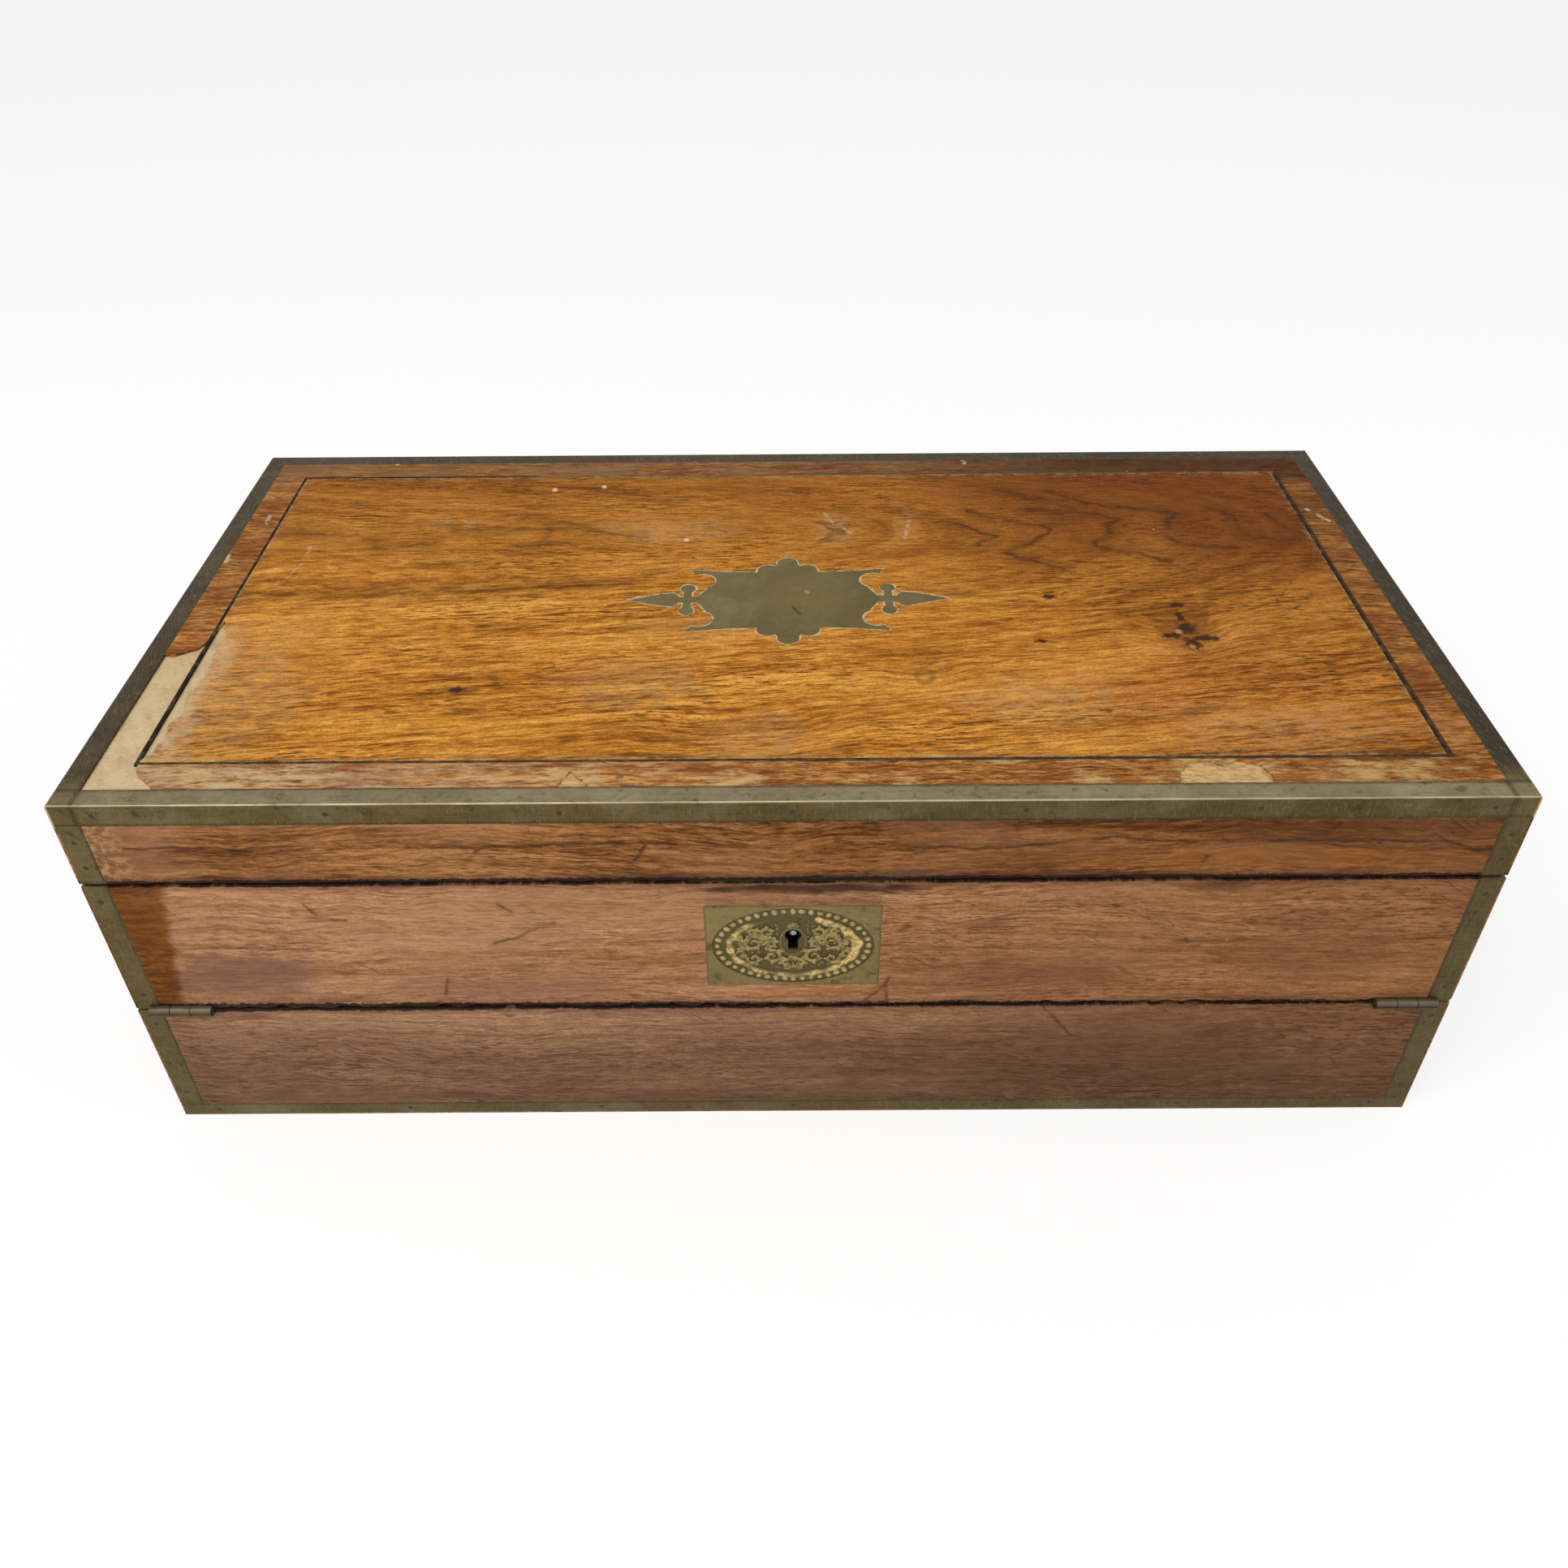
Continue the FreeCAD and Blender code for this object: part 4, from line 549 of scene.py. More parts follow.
    def marks(self, board: Board, x: Wire, y: Wire, colour: Wire) -> Wire:
        """Pale scratches and specks of wax, and a dark scribble at the right."""
        jag = board.cloud(x * 0.3, y * 0.3, 12.0, 3.0, 0.6)
        spot = board.spot(x + (jag - 0.5) * 2.0, y, 0.0)
        pale = board.far_from(spot, self.scratches)
        colour = board.mix(pale.rise(1.3, 0.1) * jag.rise(0.42, 0.6) * 0.7, colour, (0.6, 0.44, 0.25))
        drops = board.far_from(board.spot(x, y, 0.0), self.drops)
        colour = board.mix(drops.rise(1.5, 0.6) * 0.85, colour, (0.74, 0.62, 0.44))
        dark = board.far_from(spot, self.scribbles)
        return board.mix(dark.rise(1.1, 0.2) * jag.rise(0.4, 0.55) * 0.6, colour, self.pore_colour)

    def wear(self, board: Board, place: Place, colour: Wire, rough: Wire) -> Tuple[Wire, Wire]:
        """A darker back and right that is partly painted shade, the figure, knots, pale bloom, scratches and
        grime along the string.
        """
        x, y, _ = place
        # Darker towards the back and the right: partly darker wood, partly painted shade.
        back = y.rise(-30.0, 112.0)
        right = x.rise(-20.0, 232.0)
        tone_and_painted_shade = back * 0.49 + right * 0.38 + back * right * 0.52 - 0.06
        patch = (board.cloud(x * 0.011, y * 0.02, 71.0, 2.0) - 0.5) * 0.45
        shade = (tone_and_painted_shade + patch).most(0.0).least(0.84)
        colour = board.mix(shade, colour, (0.27, 0.13, 0.012), "MULTIPLY")
        colour = board.mix(self.figure(board, x, y).held() * 0.85, colour, (0.07, 0.02, 0.002))
        colour = self.stains(board, x, y, colour)
        cloud = board.cloud(x * 0.04, y * 0.07, 6.0, 5.0, 0.7)
        fine = board.cloud(x * 0.16, y * 0.3, 8.0, 5.0, 0.78)
        faded = board.blot(x, y, (165.0, -75.0), (90.0, 50.0), (cloud - 0.5) * 1.2)
        colour = board.mix(faded * 0.6, colour, (0.85, 0.7, 0.9), "MULTIPLY")
        bloom: Value = 0.0
        for centre, half, share in self.blooms:
            bloom = board.blot(x, y, centre, half, (cloud - 0.5) * 1.8) * share + bloom
        bloom = (bloom * (0.12 + fine.rise(0.42, 0.62) * 0.88)).least(0.9)
        colour = board.mix(bloom * 0.6, colour, self.haze_colour)
        colour = self.marks(board, x, y, colour)
        frost = x.rise(-210.0, -222.0) * y.rise(-14.0, -36.0) * fine.rise(0.3, 0.62)
        colour = board.mix(frost.held() * 0.75, colour, (0.64, 0.47, 0.27))
        side, ends = FIELD_EDGE
        edge = abs(x).rise(side - 5.0, side).most(abs(y).rise(ends - 5.0, ends))
        lip = abs(x).rise(side - 1.4, side).most(abs(y).rise(ends - 1.4, ends))
        frayed = board.cloud(x * 0.22, y * 0.22, 16.0, 4.0, 0.7).rise(0.46, 0.6)
        colour = board.shade(colour, 1.0 - edge * 0.16)
        colour = board.mix((edge * 0.35 + lip * 0.65) * frayed * 0.6, colour, (0.56, 0.4, 0.2))
        colour = board.mix(x.rise(side - 0.3, side) * 0.85, colour, LINE_DIRT)
        return colour, rough + bloom * 0.18


@dataclass(frozen=True)
class Border(Rosewood):
    """The narrow border veneer: redder, crossed by chips and pale wear.

    A bare place is the middle and half size of an oval, and a scratch is a line, as its corners.
    """

    bare: Spots = (
        ((-75, -118), (16, 6)), ((-18, -119), (14, 6)), ((38, -121), (7, 4)), ((105, -121), (10, 4)),
        ((146, -113), (24, 7)), ((-188, -118), (34, 9)), ((205, -117), (30, 8)))
    scratches: Paths = (
        ((-189, 126), (-187, 122)), ((-197, 129), (-196, 126)), ((-233.6, 71), (-233.2, 64)),
        ((-240.8, 36), (-240.2, 28)), ((-44, 125), (-43, 121)), ((83, 124), (84, 119)),
        ((232, 72), (239, 60)))

    def wear(self, board: Board, place: Place, colour: Wire, rough: Wire) -> Tuple[Wire, Wire]:
        """Reddish blotches and pale rubbed patches, thicker in front; grey haze at the back, and a back and
        right darkened partly by painted shade.
        """
        x, y, _ = place
        front = y.rise(-90.0, -112.0)
        back = y.rise(95.0, 112.0)
        blotch = board.cloud(x * 0.05, y * 0.09, 31.0, 4.0, 0.66)
        colour = board.mix(blotch.rise(0.46, 0.6) * 0.6, colour, (0.25, 0.066, 0.012))
        rubbed = board.cloud(x * 0.075, y * 0.34, 37.0, 5.0, 0.8)
        bare: Value = 0.0
        for centre, half in self.bare:
            bare = board.blot(x, y, centre, half, (blotch - 0.5) * 2.4).most(bare)
        strong = rubbed.rise(0.5, 0.64) * (0.36 + front * 0.34)
        strong = (strong + bare * rubbed.rise(0.4, 0.54) * 0.75).least(0.92)
        colour = board.mix(strong, colour, (0.62, 0.405, 0.165))
        frost = front * x.rise(20.0, -210.0) * rubbed.rise(0.34, 0.6)
        colour = board.mix(frost * 0.55, colour, (0.58, 0.44, 0.28))
        dark = board.cloud(x * 0.09, y * 0.42, 43.0, 4.0, 0.74).rise(0.52, 0.66)
        colour = board.mix(dark * (0.6 + front * 0.05), colour, (0.11, 0.03, 0.007))
        mist = board.cloud(x * 0.03, y * 0.1, 47.0, 4.0, 0.65).rise(0.36, 0.6)
        colour = board.mix(back * mist * 0.5, colour, (0.34, 0.225, 0.125))
        # Darker towards the back and the right, most at the back right corner: partly darker wood, partly
        # painted shade.
        corner = y.rise(20.0, 118.0) * x.rise(60.0, 240.0) * 0.26
        tone_and_painted_shade = corner + y.rise(-60.0, 118.0) * 0.16 + x.rise(60.0, 240.0) * 0.22
        tone_and_painted_shade = tone_and_painted_shade + back * (x.rise(-40.0, 160.0) * 0.46 + 0.18)
        colour = board.mix(tone_and_painted_shade.held(), colour, (0.25, 0.18, 0.09), "MULTIPLY")
        jag = board.cloud(x * 0.3, y * 0.3, 12.0, 3.0, 0.6)
        pale = board.far_from(board.spot(x + (jag - 0.5) * 2.0, y, 0.0), self.scratches)
        colour = board.mix(pale.rise(1.5, 0.3) * jag.rise(0.4, 0.55) * 0.75, colour, (0.62, 0.5, 0.33))
        side, ends = LINE_OUTSIDE
        beside_line = abs(x).rise(side + 0.3, side) * abs(y).rise(ends + 0.6, ends) * x.rise(-1.0, 1.0)
        colour = board.mix(beside_line * 0.85, colour, LINE_DIRT)
        return colour, rough + strong * 0.15


@dataclass(frozen=True)
class FrontVeneer(Rosewood):
    """Upright veneer of the walls, handled for years: haze, scratches, and dirt with painted shade along the
    seams.

    A seam is its height, the half width of its dark band of dirt and painted shade at the left end and that
    at the right end. A crack is a line, as its corners. A patch is an oval: its middle, half size, tint and
    strength.
    """

    seams: Tuple[Point3, ...] = ()
    outside: float = 131.0
    groove: float = 0.0
    varnish: float = 0.0
    keyhole: float = 0.0
    cracks: Paths = ()
    crack_share: float = 0.7
    patches: Tuple[Tuple[Point2, Point2, Colour, float], ...] = ()
    rubbed_end: float = 0.0

    def darkening(self, board: Board, x: Wire, z: Wire, skin: Wire, colour: Wire) -> Wire:
        """Blackens both sides of each seam near the outside, with a ragged rim and a soft dark fringe: dirt,
        and painted shade of the gap between the boards.
        """
        for height, left, right in self.seams:
            rim = board.cloud(x * 0.36, z * 0.5, height, 4.0, 0.8) - 0.5
            slow = board.cloud(x * 0.03, z * 0.02, height + 3.0, 3.0, 0.6) - 0.5
            half = left + x.rise(-220.0, 220.0) * (right - left)
            half = half + (rim * 4.2 + slow * 2.6) * (0.35 + 0.32 * left)
            away = abs(z - height) - half
            # A soft fringe of painted shade, then a black band of dirt and painted shade along the gap.
            colour = board.mix(away.rise(3.4, -0.2) * skin * 0.42, colour, (0.075, 0.034, 0.026))
            colour = board.mix(away.rise(0.35, -0.3) * skin * 0.92, colour, (0.016, 0.009, 0.007))
        return colour

    def wear(self, board: Board, place: Place, colour: Wire, rough: Wire) -> Tuple[Wire, Wire]:
        """Haze in the middle of the panel, black dirt and painted shade at its seams and an unfaded patch on
        the left.
        """
        x, z = place[self.lay.value[0]], place[2]
        mist = board.cloud(x * 0.012, z * 0.03, self.seed + 1.0, 4.0, 0.62).rise(0.42, 0.66)
        colour = board.mix(mist * self.haze_share, colour, self.haze_colour)
        ragged = (board.cloud(x * 0.06, z * 0.1, self.seed + 6.0, 4.0, 0.65) - 0.5) * 1.6
        for centre, half, tint, share in self.patches:
            colour = board.mix(board.blot(x, z, centre, half, ragged) * share, colour, tint)
        colour = board.mix(x.rise(-170.0, 230.0) * 0.85, colour, (0.66, 0.56, 0.42), "MULTIPLY")
        foot = abs(x).rise(218.0, 240.0)
        colour = board.mix(foot * 0.3, colour, (0.45, 0.36, 0.28), "MULTIPLY")
        colour = self.broken(board, x, z, colour)
        skin = abs(place[self.lay.value[2]]).rise(self.outside - 6.5, self.outside - 3.0)
        # Dirt and painted shade along the seams, near the outside only.
        colour = self.darkening(board, x, z, skin, colour)
        # Painted shade: a near-black band along the groove under the flap's top edge.
        if self.groove:
            rim = (board.cloud(x * 0.07, z * 0.25, 5.0, 3.0) - 0.5) * 1.4
            worn = board.blot(x, z, (10.0, self.groove), (66.0, 3.0), rim)
            colour = board.mix(worn * 0.85, colour, (0.03, 0.015, 0.012))
        if self.keyhole:
            shadow = board.blot(x, z, (0.0, self.keyhole), (9.0, 14.0))
            colour = board.mix(shadow, colour, (0.006, 0.005, 0.004))
        return self.scratched(board, x, z, colour), rough + mist * 0.14

    def broken(self, board: Board, x: Wire, z: Wire, colour: Wire) -> Wire:
        """The dark varnish kept at the left end, an end rubbed bare, and cracks, where a panel has them."""
        if self.varnish:
            rim = (board.cloud(x * 0.1, z * 0.12, 2.0, 4.0, 0.65) - 0.5) * 7.0
            kept = (x + rim - (z - 100.0) * 0.16).rise(-224.0, -228.5)
            colour = board.mix(kept * self.varnish, colour, (0.5, 0.34, 0.13), "MULTIPLY")
        if self.rubbed_end:
            crumbs = board.cloud(x * 0.35, z * 0.35, 4.0, 4.0, 0.7).rise(0.44, 0.6)
            colour = board.mix(x.rise(-224.0, -234.0) * crumbs * self.rubbed_end, colour, (0.5, 0.3, 0.13))
        if self.cracks:
            jag = board.cloud(x * 0.12, z * 0.25, 14.0, 3.0, 0.65) - 0.5
            far = board.far_from(board.spot(x, z + jag * 3.2, 0.0), self.cracks)
            broken = board.cloud(x * 0.07, z * 0.2, 15.0, 2.0).rise(0.3, 0.52)
            line = far.rise(1.05, 0.15) * (0.4 + broken * 0.6) + far.rise(3.2, 0.4) * 0.22
            colour = board.mix((line * self.crack_share).held(), colour, (0.04, 0.017, 0.01))
        return colour

    def scratched(self, board: Board, x: Wire, z: Wire, colour: Wire) -> Wire:
        """Small round nicks and long hair-thin scratches."""
        nicks = board.cells(x * 0.05, z * 0.075, self.seed + 2.0)
        chosen = board.parts(nicks.beside(1))[1].rise(0.62, 0.68)
        colour = board.mix((nicks * 13.0).rise(0.95, 0.35) * chosen * 0.75, colour, (0.05, 0.022, 0.015))
        hair = board.cloud(x * 0.16 + z * 0.22, z * 0.018 - x * 0.012, self.seed + 8.0, 1.0)
        line = abs(hair - 0.5).rise(0.01, 0.003)
        line = line * board.cloud(x * 0.02, z * 0.04, 18.0, 1.0).rise(0.56, 0.68)
        return board.mix(line * 0.5, colour, (0.06, 0.03, 0.02))


@dataclass(frozen=True)
class PlainWood(Finish):
    """Plain straight-grained wood of the inside."""

    lay: Lay = Lay.FLAT
    seed: float = 0.0
    dark: Colour = (0.27, 0.12, 0.052)
    light: Colour = (0.47, 0.25, 0.125)
    polish: float = 0.55

    def make(self, board: Board) -> Material:
        """Ribbon stripes, short pores and a little dust."""
        place = board.place()
        u, v, w = (place[i] for i in self.lay.value)
        bend = (board.cloud(u * 0.006, v * 0.02, self.seed + 2.0) - 0.5) * 10.0
        ring = v + bend
        stripes = board.cloud(u * 0.006, ring * 0.22, w * 0.15 + self.seed, 4.0, 0.6)
        ribbon = board.cloud(u * 0.05, ring * 0.05, w * 0.05 + self.seed + 4.0, 2.0)
        pores = board.cloud(u * 0.14, ring * 2.6, w * 1.3 + self.seed, 2.0).rise(0.6, 0.72)
        colour = board.ramp((stripes * 0.75 + ribbon * 0.4 - 0.07).held(),
                            ((0.28, self.dark), (0.72, self.light)))
        colour = board.mix(pores * 0.6, colour, tuple(c * 0.35 for c in self.dark))
        normal = board.relief(0.8 - pores * 0.6 + stripes * 0.15, 0.12)
        return board.surface(colour, self.polish + pores * 0.2, normal, Specular_IOR_Level=0.35)


@dataclass(frozen=True)
class GroundWood(Finish):
    """Bare pale ground board with old glue, seen where the veneer has gone."""

    def make(self, board: Board) -> Material:
        """Pale wood with slanting tool lines, glue stains and grey dirt."""
        x, y, z = board.place()
        lines = board.cloud((x * 0.9 + y * 0.5) * 0.25, (y * 0.9 - x * 0.5) * 0.03, z * 0.2, 3.0, 0.6)
        stain = board.cloud(x * 0.1, y * 0.1, 3.0, 4.0, 0.65)
        fine = board.cloud(x * 0.7, y * 0.7, 5.0, 3.0, 0.75)
        colour = board.ramp((lines * 0.3 + stain * 0.45 + fine * 0.25).held(), (
            (0.32, (0.44, 0.3, 0.14)), (0.5, (0.64, 0.47, 0.265)), (0.68, (0.76, 0.58, 0.37))))
        colour = board.mix(y.rise(-100.0, -40.0) * 0.55, colour, (0.94, 0.95, 0.8), "MULTIPLY")
        yellow = x.rise(-150.0, -60.0)
        colour = board.mix(yellow * 0.85, colour, (0.68, 0.45, 0.18))
        streaks = board.cloud(x * 0.24, y * 0.6, 19.0, 5.0, 0.8).rise(0.44, 0.6)
        colour = board.mix(yellow * streaks * 0.72, colour, (0.38, 0.17, 0.05))
        darkening = board.cloud(x * 0.4, y * 0.4, 9.0, 3.0, 0.6).rise(0.6, 0.74)
        colour = board.mix(darkening * 0.5, colour, (0.25, 0.13, 0.06))
        return board.surface(colour, 0.8, board.relief(lines * 0.6 + stain * 0.4, 0.25),
                             Specular_IOR_Level=0.2)


@dataclass(frozen=True)
class Brass(Finish):
    """Old brass: a dull olive skin, grey bloom, brown spots, fine scratches and rubbed arrises, with painted
    sheen, shade and highlight.
    """

    body: Colour = (0.124, 0.087, 0.025)
    bloom: Colour = (0.262, 0.215, 0.128)
    spots: Colour = (0.045, 0.032, 0.013)
    # The arris colour: rubbed metal and a painted highlight.
    rubbed: Colour = (0.52, 0.45, 0.3)
    rubbed_and_highlight_share: float = 0.7
    bloom_share: float = 0.3
    polish: float = 0.52
    metal: float = 0.6
    seed: float = 0.0
    edges: Tuple[Tuple[int, float], ...] = ()

    def skin(self, board: Board, place: Place) -> Tuple[Wire, Wire]:
        """The colour and roughness of the metal away from its edges, with painted sheen on the front strip's
        top face and painted shade on other faces.

        Args:
            board: the tree.
            place: the spot on the box.

        Returns:
            The colour and the roughness.
        """
        x, y, z = place
        broad = board.lumps(place, 0.03, self.seed, 4.0, 0.62)
        fine = board.lumps(place, 0.45, self.seed, 4.0, 0.7)
        _, _, up = board.facing()
        top = up.rise(0.3, 0.8)
        # The front strip's top face is paler than its front: painted sheen, over grey bloom in patches.
        painted_sheen = top * y.rise(-118.0, -124.0) * (1.0 - abs(x).rise(236.0, 245.0) * 0.6)
        share = (broad.rise(0.42, 0.66) * self.bloom_share + painted_sheen * 0.62).held()
        colour = board.mix(share, self.body, self.bloom)
        # Painted shade: the top faces of the lid's side and back strips, more at the right, and the faces
        # that don't look up, more towards the right.
        lid_top = top * y.rise(-125.0, -112.0) * abs(z - LID_TOP).rise(1.5, 0.5)
        painted_shade = lid_top * (0.66 + x.rise(0.0, 220.0) * 0.16)
        painted_shade = painted_shade.most((1.0 - top) * x.rise(-160.0, 240.0) * 0.3)
        colour = board.mix(painted_shade, colour, (0.1, 0.055, 0.01), "MULTIPLY")
        drawn = board.cloud(x * 0.05, y * 0.9, z * 0.9 + self.seed, 4.0, 0.75)
        colour = board.shade(colour, fine * 0.95 + broad * 0.5 + drawn * 0.65 - 0.05)
        spotted = board.lumps(place, 0.2, self.seed + 7.0, 4.0, 0.7).rise(0.55, 0.7)
        colour = board.mix(spotted * 0.6, colour, self.spots)
        for axis, edge in self.edges:
            grime = (abs(abs(place[axis]) - edge) - fine * 2.6).rise(0.3, -1.2)
            colour = board.mix(grime * 0.75, colour, self.spots)
        return colour, self.polish + (fine - 0.5) * 0.3 + spotted * 0.12

    def make(self, board: Board) -> Material:
        """Skin, then rubbed arrises that also carry a painted highlight, then scratches."""
        place = board.place()
        x, y, z = place
        colour, rough = self.skin(board, place)
        nx, ny, nz = board.facing()
        # Paler along every arris: rubbed metal, and a painted highlight on the rounded edges.
        arris = (abs(nx * ny) + abs(ny * nz) + abs(nz * nx)).rise(0.12, 0.46)
        patchy = board.lumps(place, 0.05, 3.0, 3.0).rise(0.3, 0.6)
        colour = board.mix(arris * (0.35 + patchy * 0.65) * self.rubbed_and_highlight_share, colour, self.rubbed)
        hair = board.cloud((x + y * 0.3) * 0.9, (y - x * 0.25 + z) * 0.1, self.seed, 2.0)
        lines = abs(hair - 0.5).rise(0.016, 0.004)
        colour = board.mix(lines * 0.35, colour, self.bloom)
        fine = board.lumps(place, 0.6, 0.0, 3.0, 0.6)
        normal = board.relief(fine * 0.7 - lines * 0.3, 0.06)
        return board.surface(colour, rough - arris * 0.12, normal, Metallic=self.metal,
                             Specular_IOR_Level=0.2)


@dataclass(frozen=True)
class ShieldBrass(Brass):
    """The shield in the lid: clouded green-brown brass with grey bloom and one dark scratch."""

    def skin(self, board: Board, place: Place) -> Tuple[Wire, Wire]:
        """Broad clouds, grey at the left, with small marks near the middle."""
        x, y, _ = place
        cloud = board.cloud(x * 0.055, y * 0.055, 3.0, 5.0, 0.68)
        fine = board.cloud(x * 0.6, y * 0.6, 5.0, 4.0, 0.72)
        grey = (cloud.rise(0.4, 0.66) * 0.55 + x.rise(-2.0, -30.0) * 0.3).held()
        colour = board.mix(grey, self.body, self.bloom)
        golden = board.blot(x, y, (6.0, 0.0), (22.0, 24.0), (cloud - 0.5) * 2.0)
        colour = board.mix(golden * 0.5, colour, (0.19, 0.14, 0.036))
        colour = board.shade(colour, 0.62 + fine * 0.76)
        spot = board.spot(x, y, 0.0)
        scratch = board.far_from(spot, (((1.0, -8.5), (2.2, -11.0), (3.8, -14.0)),))
        colour = board.mix(scratch.rise(1.0, 0.2) * 0.8, colour, self.spots)
        dent = board.far_from(spot, (((6.6, 3.6), (7.0, 2.4)),))
        colour = board.mix(dent.rise(1.3, 0.4) * 0.7, colour, (0.36, 0.33, 0.2))
        return colour, self.polish + (fine - 0.5) * 0.3


@dataclass(frozen=True)
class EngravedBrass(Brass):
    """Brass of the lock plate: worn metal on what stands proud and black wax in what is sunk."""

    floor: float = 130.7
    top: float = 131.4
    gold: Colour = (0.72, 0.53, 0.21)
    gold_share: float = 0.9
    wax: Colour = (0.092, 0.067, 0.024)

    def make(self, board: Board) -> Material:
        """Colour by height above the sunk field."""
        place = board.place()
        x, y, z = place
        colour, rough = self.skin(board, place)
        rim = abs(x).rise(30.9, 31.9).most(abs(z - 97.0).rise(19.6, 20.5))
        colour = board.mix(rim * 0.6, colour, self.wax)
        lift = (0.0 - y - self.floor) / (self.top - self.floor)
        sunk = lift.rise(0.36, 0.05)
        sink_share = board.cloud(x * 0.8, z * 0.8, 3.0, 3.0, 0.6).rise(0.25, 0.6)
        colour = board.mix(sunk * (0.62 + sink_share * 0.36), colour, self.wax)
        worn = board.cloud(x * 0.42, z * 0.42, 6.0, 4.0, 0.7).rise(0.36, 0.6)
        share = lift.rise(0.4, 0.85) * (0.12 + worn * 0.88) * self.gold_share
        colour = board.mix(share.held(), colour, self.gold)
        pits = board.cells(x * 1.6, z * 1.6, 1.0)
        normal = board.relief((pits * 1.2).held() * (1.0 - lift.rise(0.2, 0.5)), 0.12)
        return board.surface(colour, rough, normal, Metallic=self.metal, Specular_IOR_Level=0.2)


@dataclass(frozen=True)
class DarkIron(Finish):
    """Dull dark iron of pins and lock works."""

    colour: Colour = (0.1, 0.085, 0.07)
    metal: float = 0.6
    pin: float = 0.0

    def make(self, board: Board) -> Material:
        """Grey-brown metal with rust in its hollows, painted shade behind the keyhole and a painted highlight
        on the drill pin's tip.
        """
        x, y, z = board.place()
        rust = board.lumps((x, y, z), 0.35, 0.0, 4.0, 0.65)
        colour = board.mix(rust.rise(0.45, 0.68) * 0.7, self.colour, (0.085, 0.042, 0.022))
        if self.pin:
            # Painted shade on the lock works seen through the keyhole, and a painted highlight on the tip of
            # the drill pin.
            dark = board.blot(x, z, (0.0, self.pin - 3.0), (9.0, 12.0)) * y.rise(-118.0, -122.0)
            colour = board.mix(dark * 0.92, colour, (0.008, 0.007, 0.006))
            painted_highlight = board.blot(x, z, (0.2, self.pin + 0.3), (1.7, 1.7)) * y.rise(-127.0, -128.2)
            colour = board.mix(painted_highlight, colour, (0.42, 0.41, 0.39))
        return board.surface(colour, 0.5 + rust * 0.2, board.relief(rust, 0.08), Metallic=self.metal)


@dataclass(frozen=True)
class Leather(Finish):
    """Thin tooled leather with a gilt border, darker where hands have rested."""

    colour: Colour = (0.03, 0.075, 0.045)
    worn: Colour = (0.095, 0.135, 0.08)
    half: Point2 = (205.0, 63.0)
    middle: Point2 = (0.0, -29.8)
    lay: Lay = Lay.FLAT

    def make(self, board: Board) -> Material:
        """Pebbled skin, worn patches, two gilt lines and a row of gilt diamonds between them."""
        place = board.place()
        u, v, _ = (place[i] for i in self.lay.value)
        x, y, z = place
        pebbles = board.cells(x * 1.1, y * 1.1, z * 1.1)
        creases = board.lumps(place, 0.12, 0.0, 5.0, 0.65)
        rubbed = board.cloud(x * 0.016, y * 0.022, z * 0.02, 4.0, 0.6).rise(0.44, 0.68)
        colour = board.mix(rubbed * 0.7, self.colour, self.worn)
        colour = board.shade(colour, 0.65 + creases * 0.7)
        inset_u = self.half[0] - abs(u - self.middle[0])
        inset_v = self.half[1] - abs(v - self.middle[1])
        inset = inset_u.least(inset_v)
        lines = abs(inset - 4.0).rise(0.55, 0.3).most(abs(inset - 11.0).rise(0.4, 0.2))
        beat_u = abs(board.maths("PINGPONG", u - self.middle[0], 3.0) - 1.5)
        beat_v = abs(board.maths("PINGPONG", v - self.middle[1], 3.0) - 1.5)
        beat, other = beat_u + abs(inset_v - 7.5), beat_v + abs(inset_u - 7.5)
        diamonds = beat.rise(1.5, 1.2).most(other.rise(1.5, 1.2))
        diamonds = diamonds * inset.rise(5.0, 5.4) * inset.rise(10.2, 9.8)
        kept = board.lumps(place, 0.3, 0.0, 4.0, 0.7).rise(0.34, 0.52)
        gilt = (lines.most(diamonds) * kept).held()
        colour = board.mix(gilt, colour, (0.62, 0.43, 0.15))
        height = (pebbles * 0.8).held() * 0.6 + creases * 0.4 - gilt * 0.5
        return board.surface(colour, 0.55 - gilt * 0.15, board.relief(height, 0.14), Metallic=gilt * 0.7)


@dataclass(frozen=True)
class ClearGlass(Finish):
    """Thick clear glass of the inkwells, faintly green, with dust in its scratches."""

    def make(self, board: Board) -> Material:
        """Glass whose surface has faint ripples."""
        place = board.place()
        ripple = board.lumps(place, 0.1, 0.0, 3.0)
        dust = board.lumps(place, 0.6, 0.0, 4.0, 0.7).rise(0.56, 0.74)
        colour = board.mix(dust * 0.35, (0.8, 0.9, 0.86), (0.62, 0.62, 0.56))
        return board.surface(colour, 0.04 + dust * 0.22, board.relief(ripple, 0.2), Transmission_Weight=0.92,
                             IOR=1.5)


@dataclass(frozen=True)
class Filler(Finish):
    """Old pale filler and wax that has settled round an inlay."""

    pale: Colour = (0.64, 0.5, 0.3)
    dark: Colour = (0.36, 0.22, 0.095)

    def make(self, board: Board) -> Material:
        """Crumbly pale paste with brown stains."""
        x, y, z = board.place()
        crumbs = board.cloud(x * 0.35, y * 0.35, z * 0.5, 4.0, 0.7)
        colour = board.mix(crumbs.rise(0.36, 0.54), self.dark, self.pale)
        return board.surface(colour, 0.8, board.relief(crumbs, 0.3), Specular_IOR_Level=0.1)


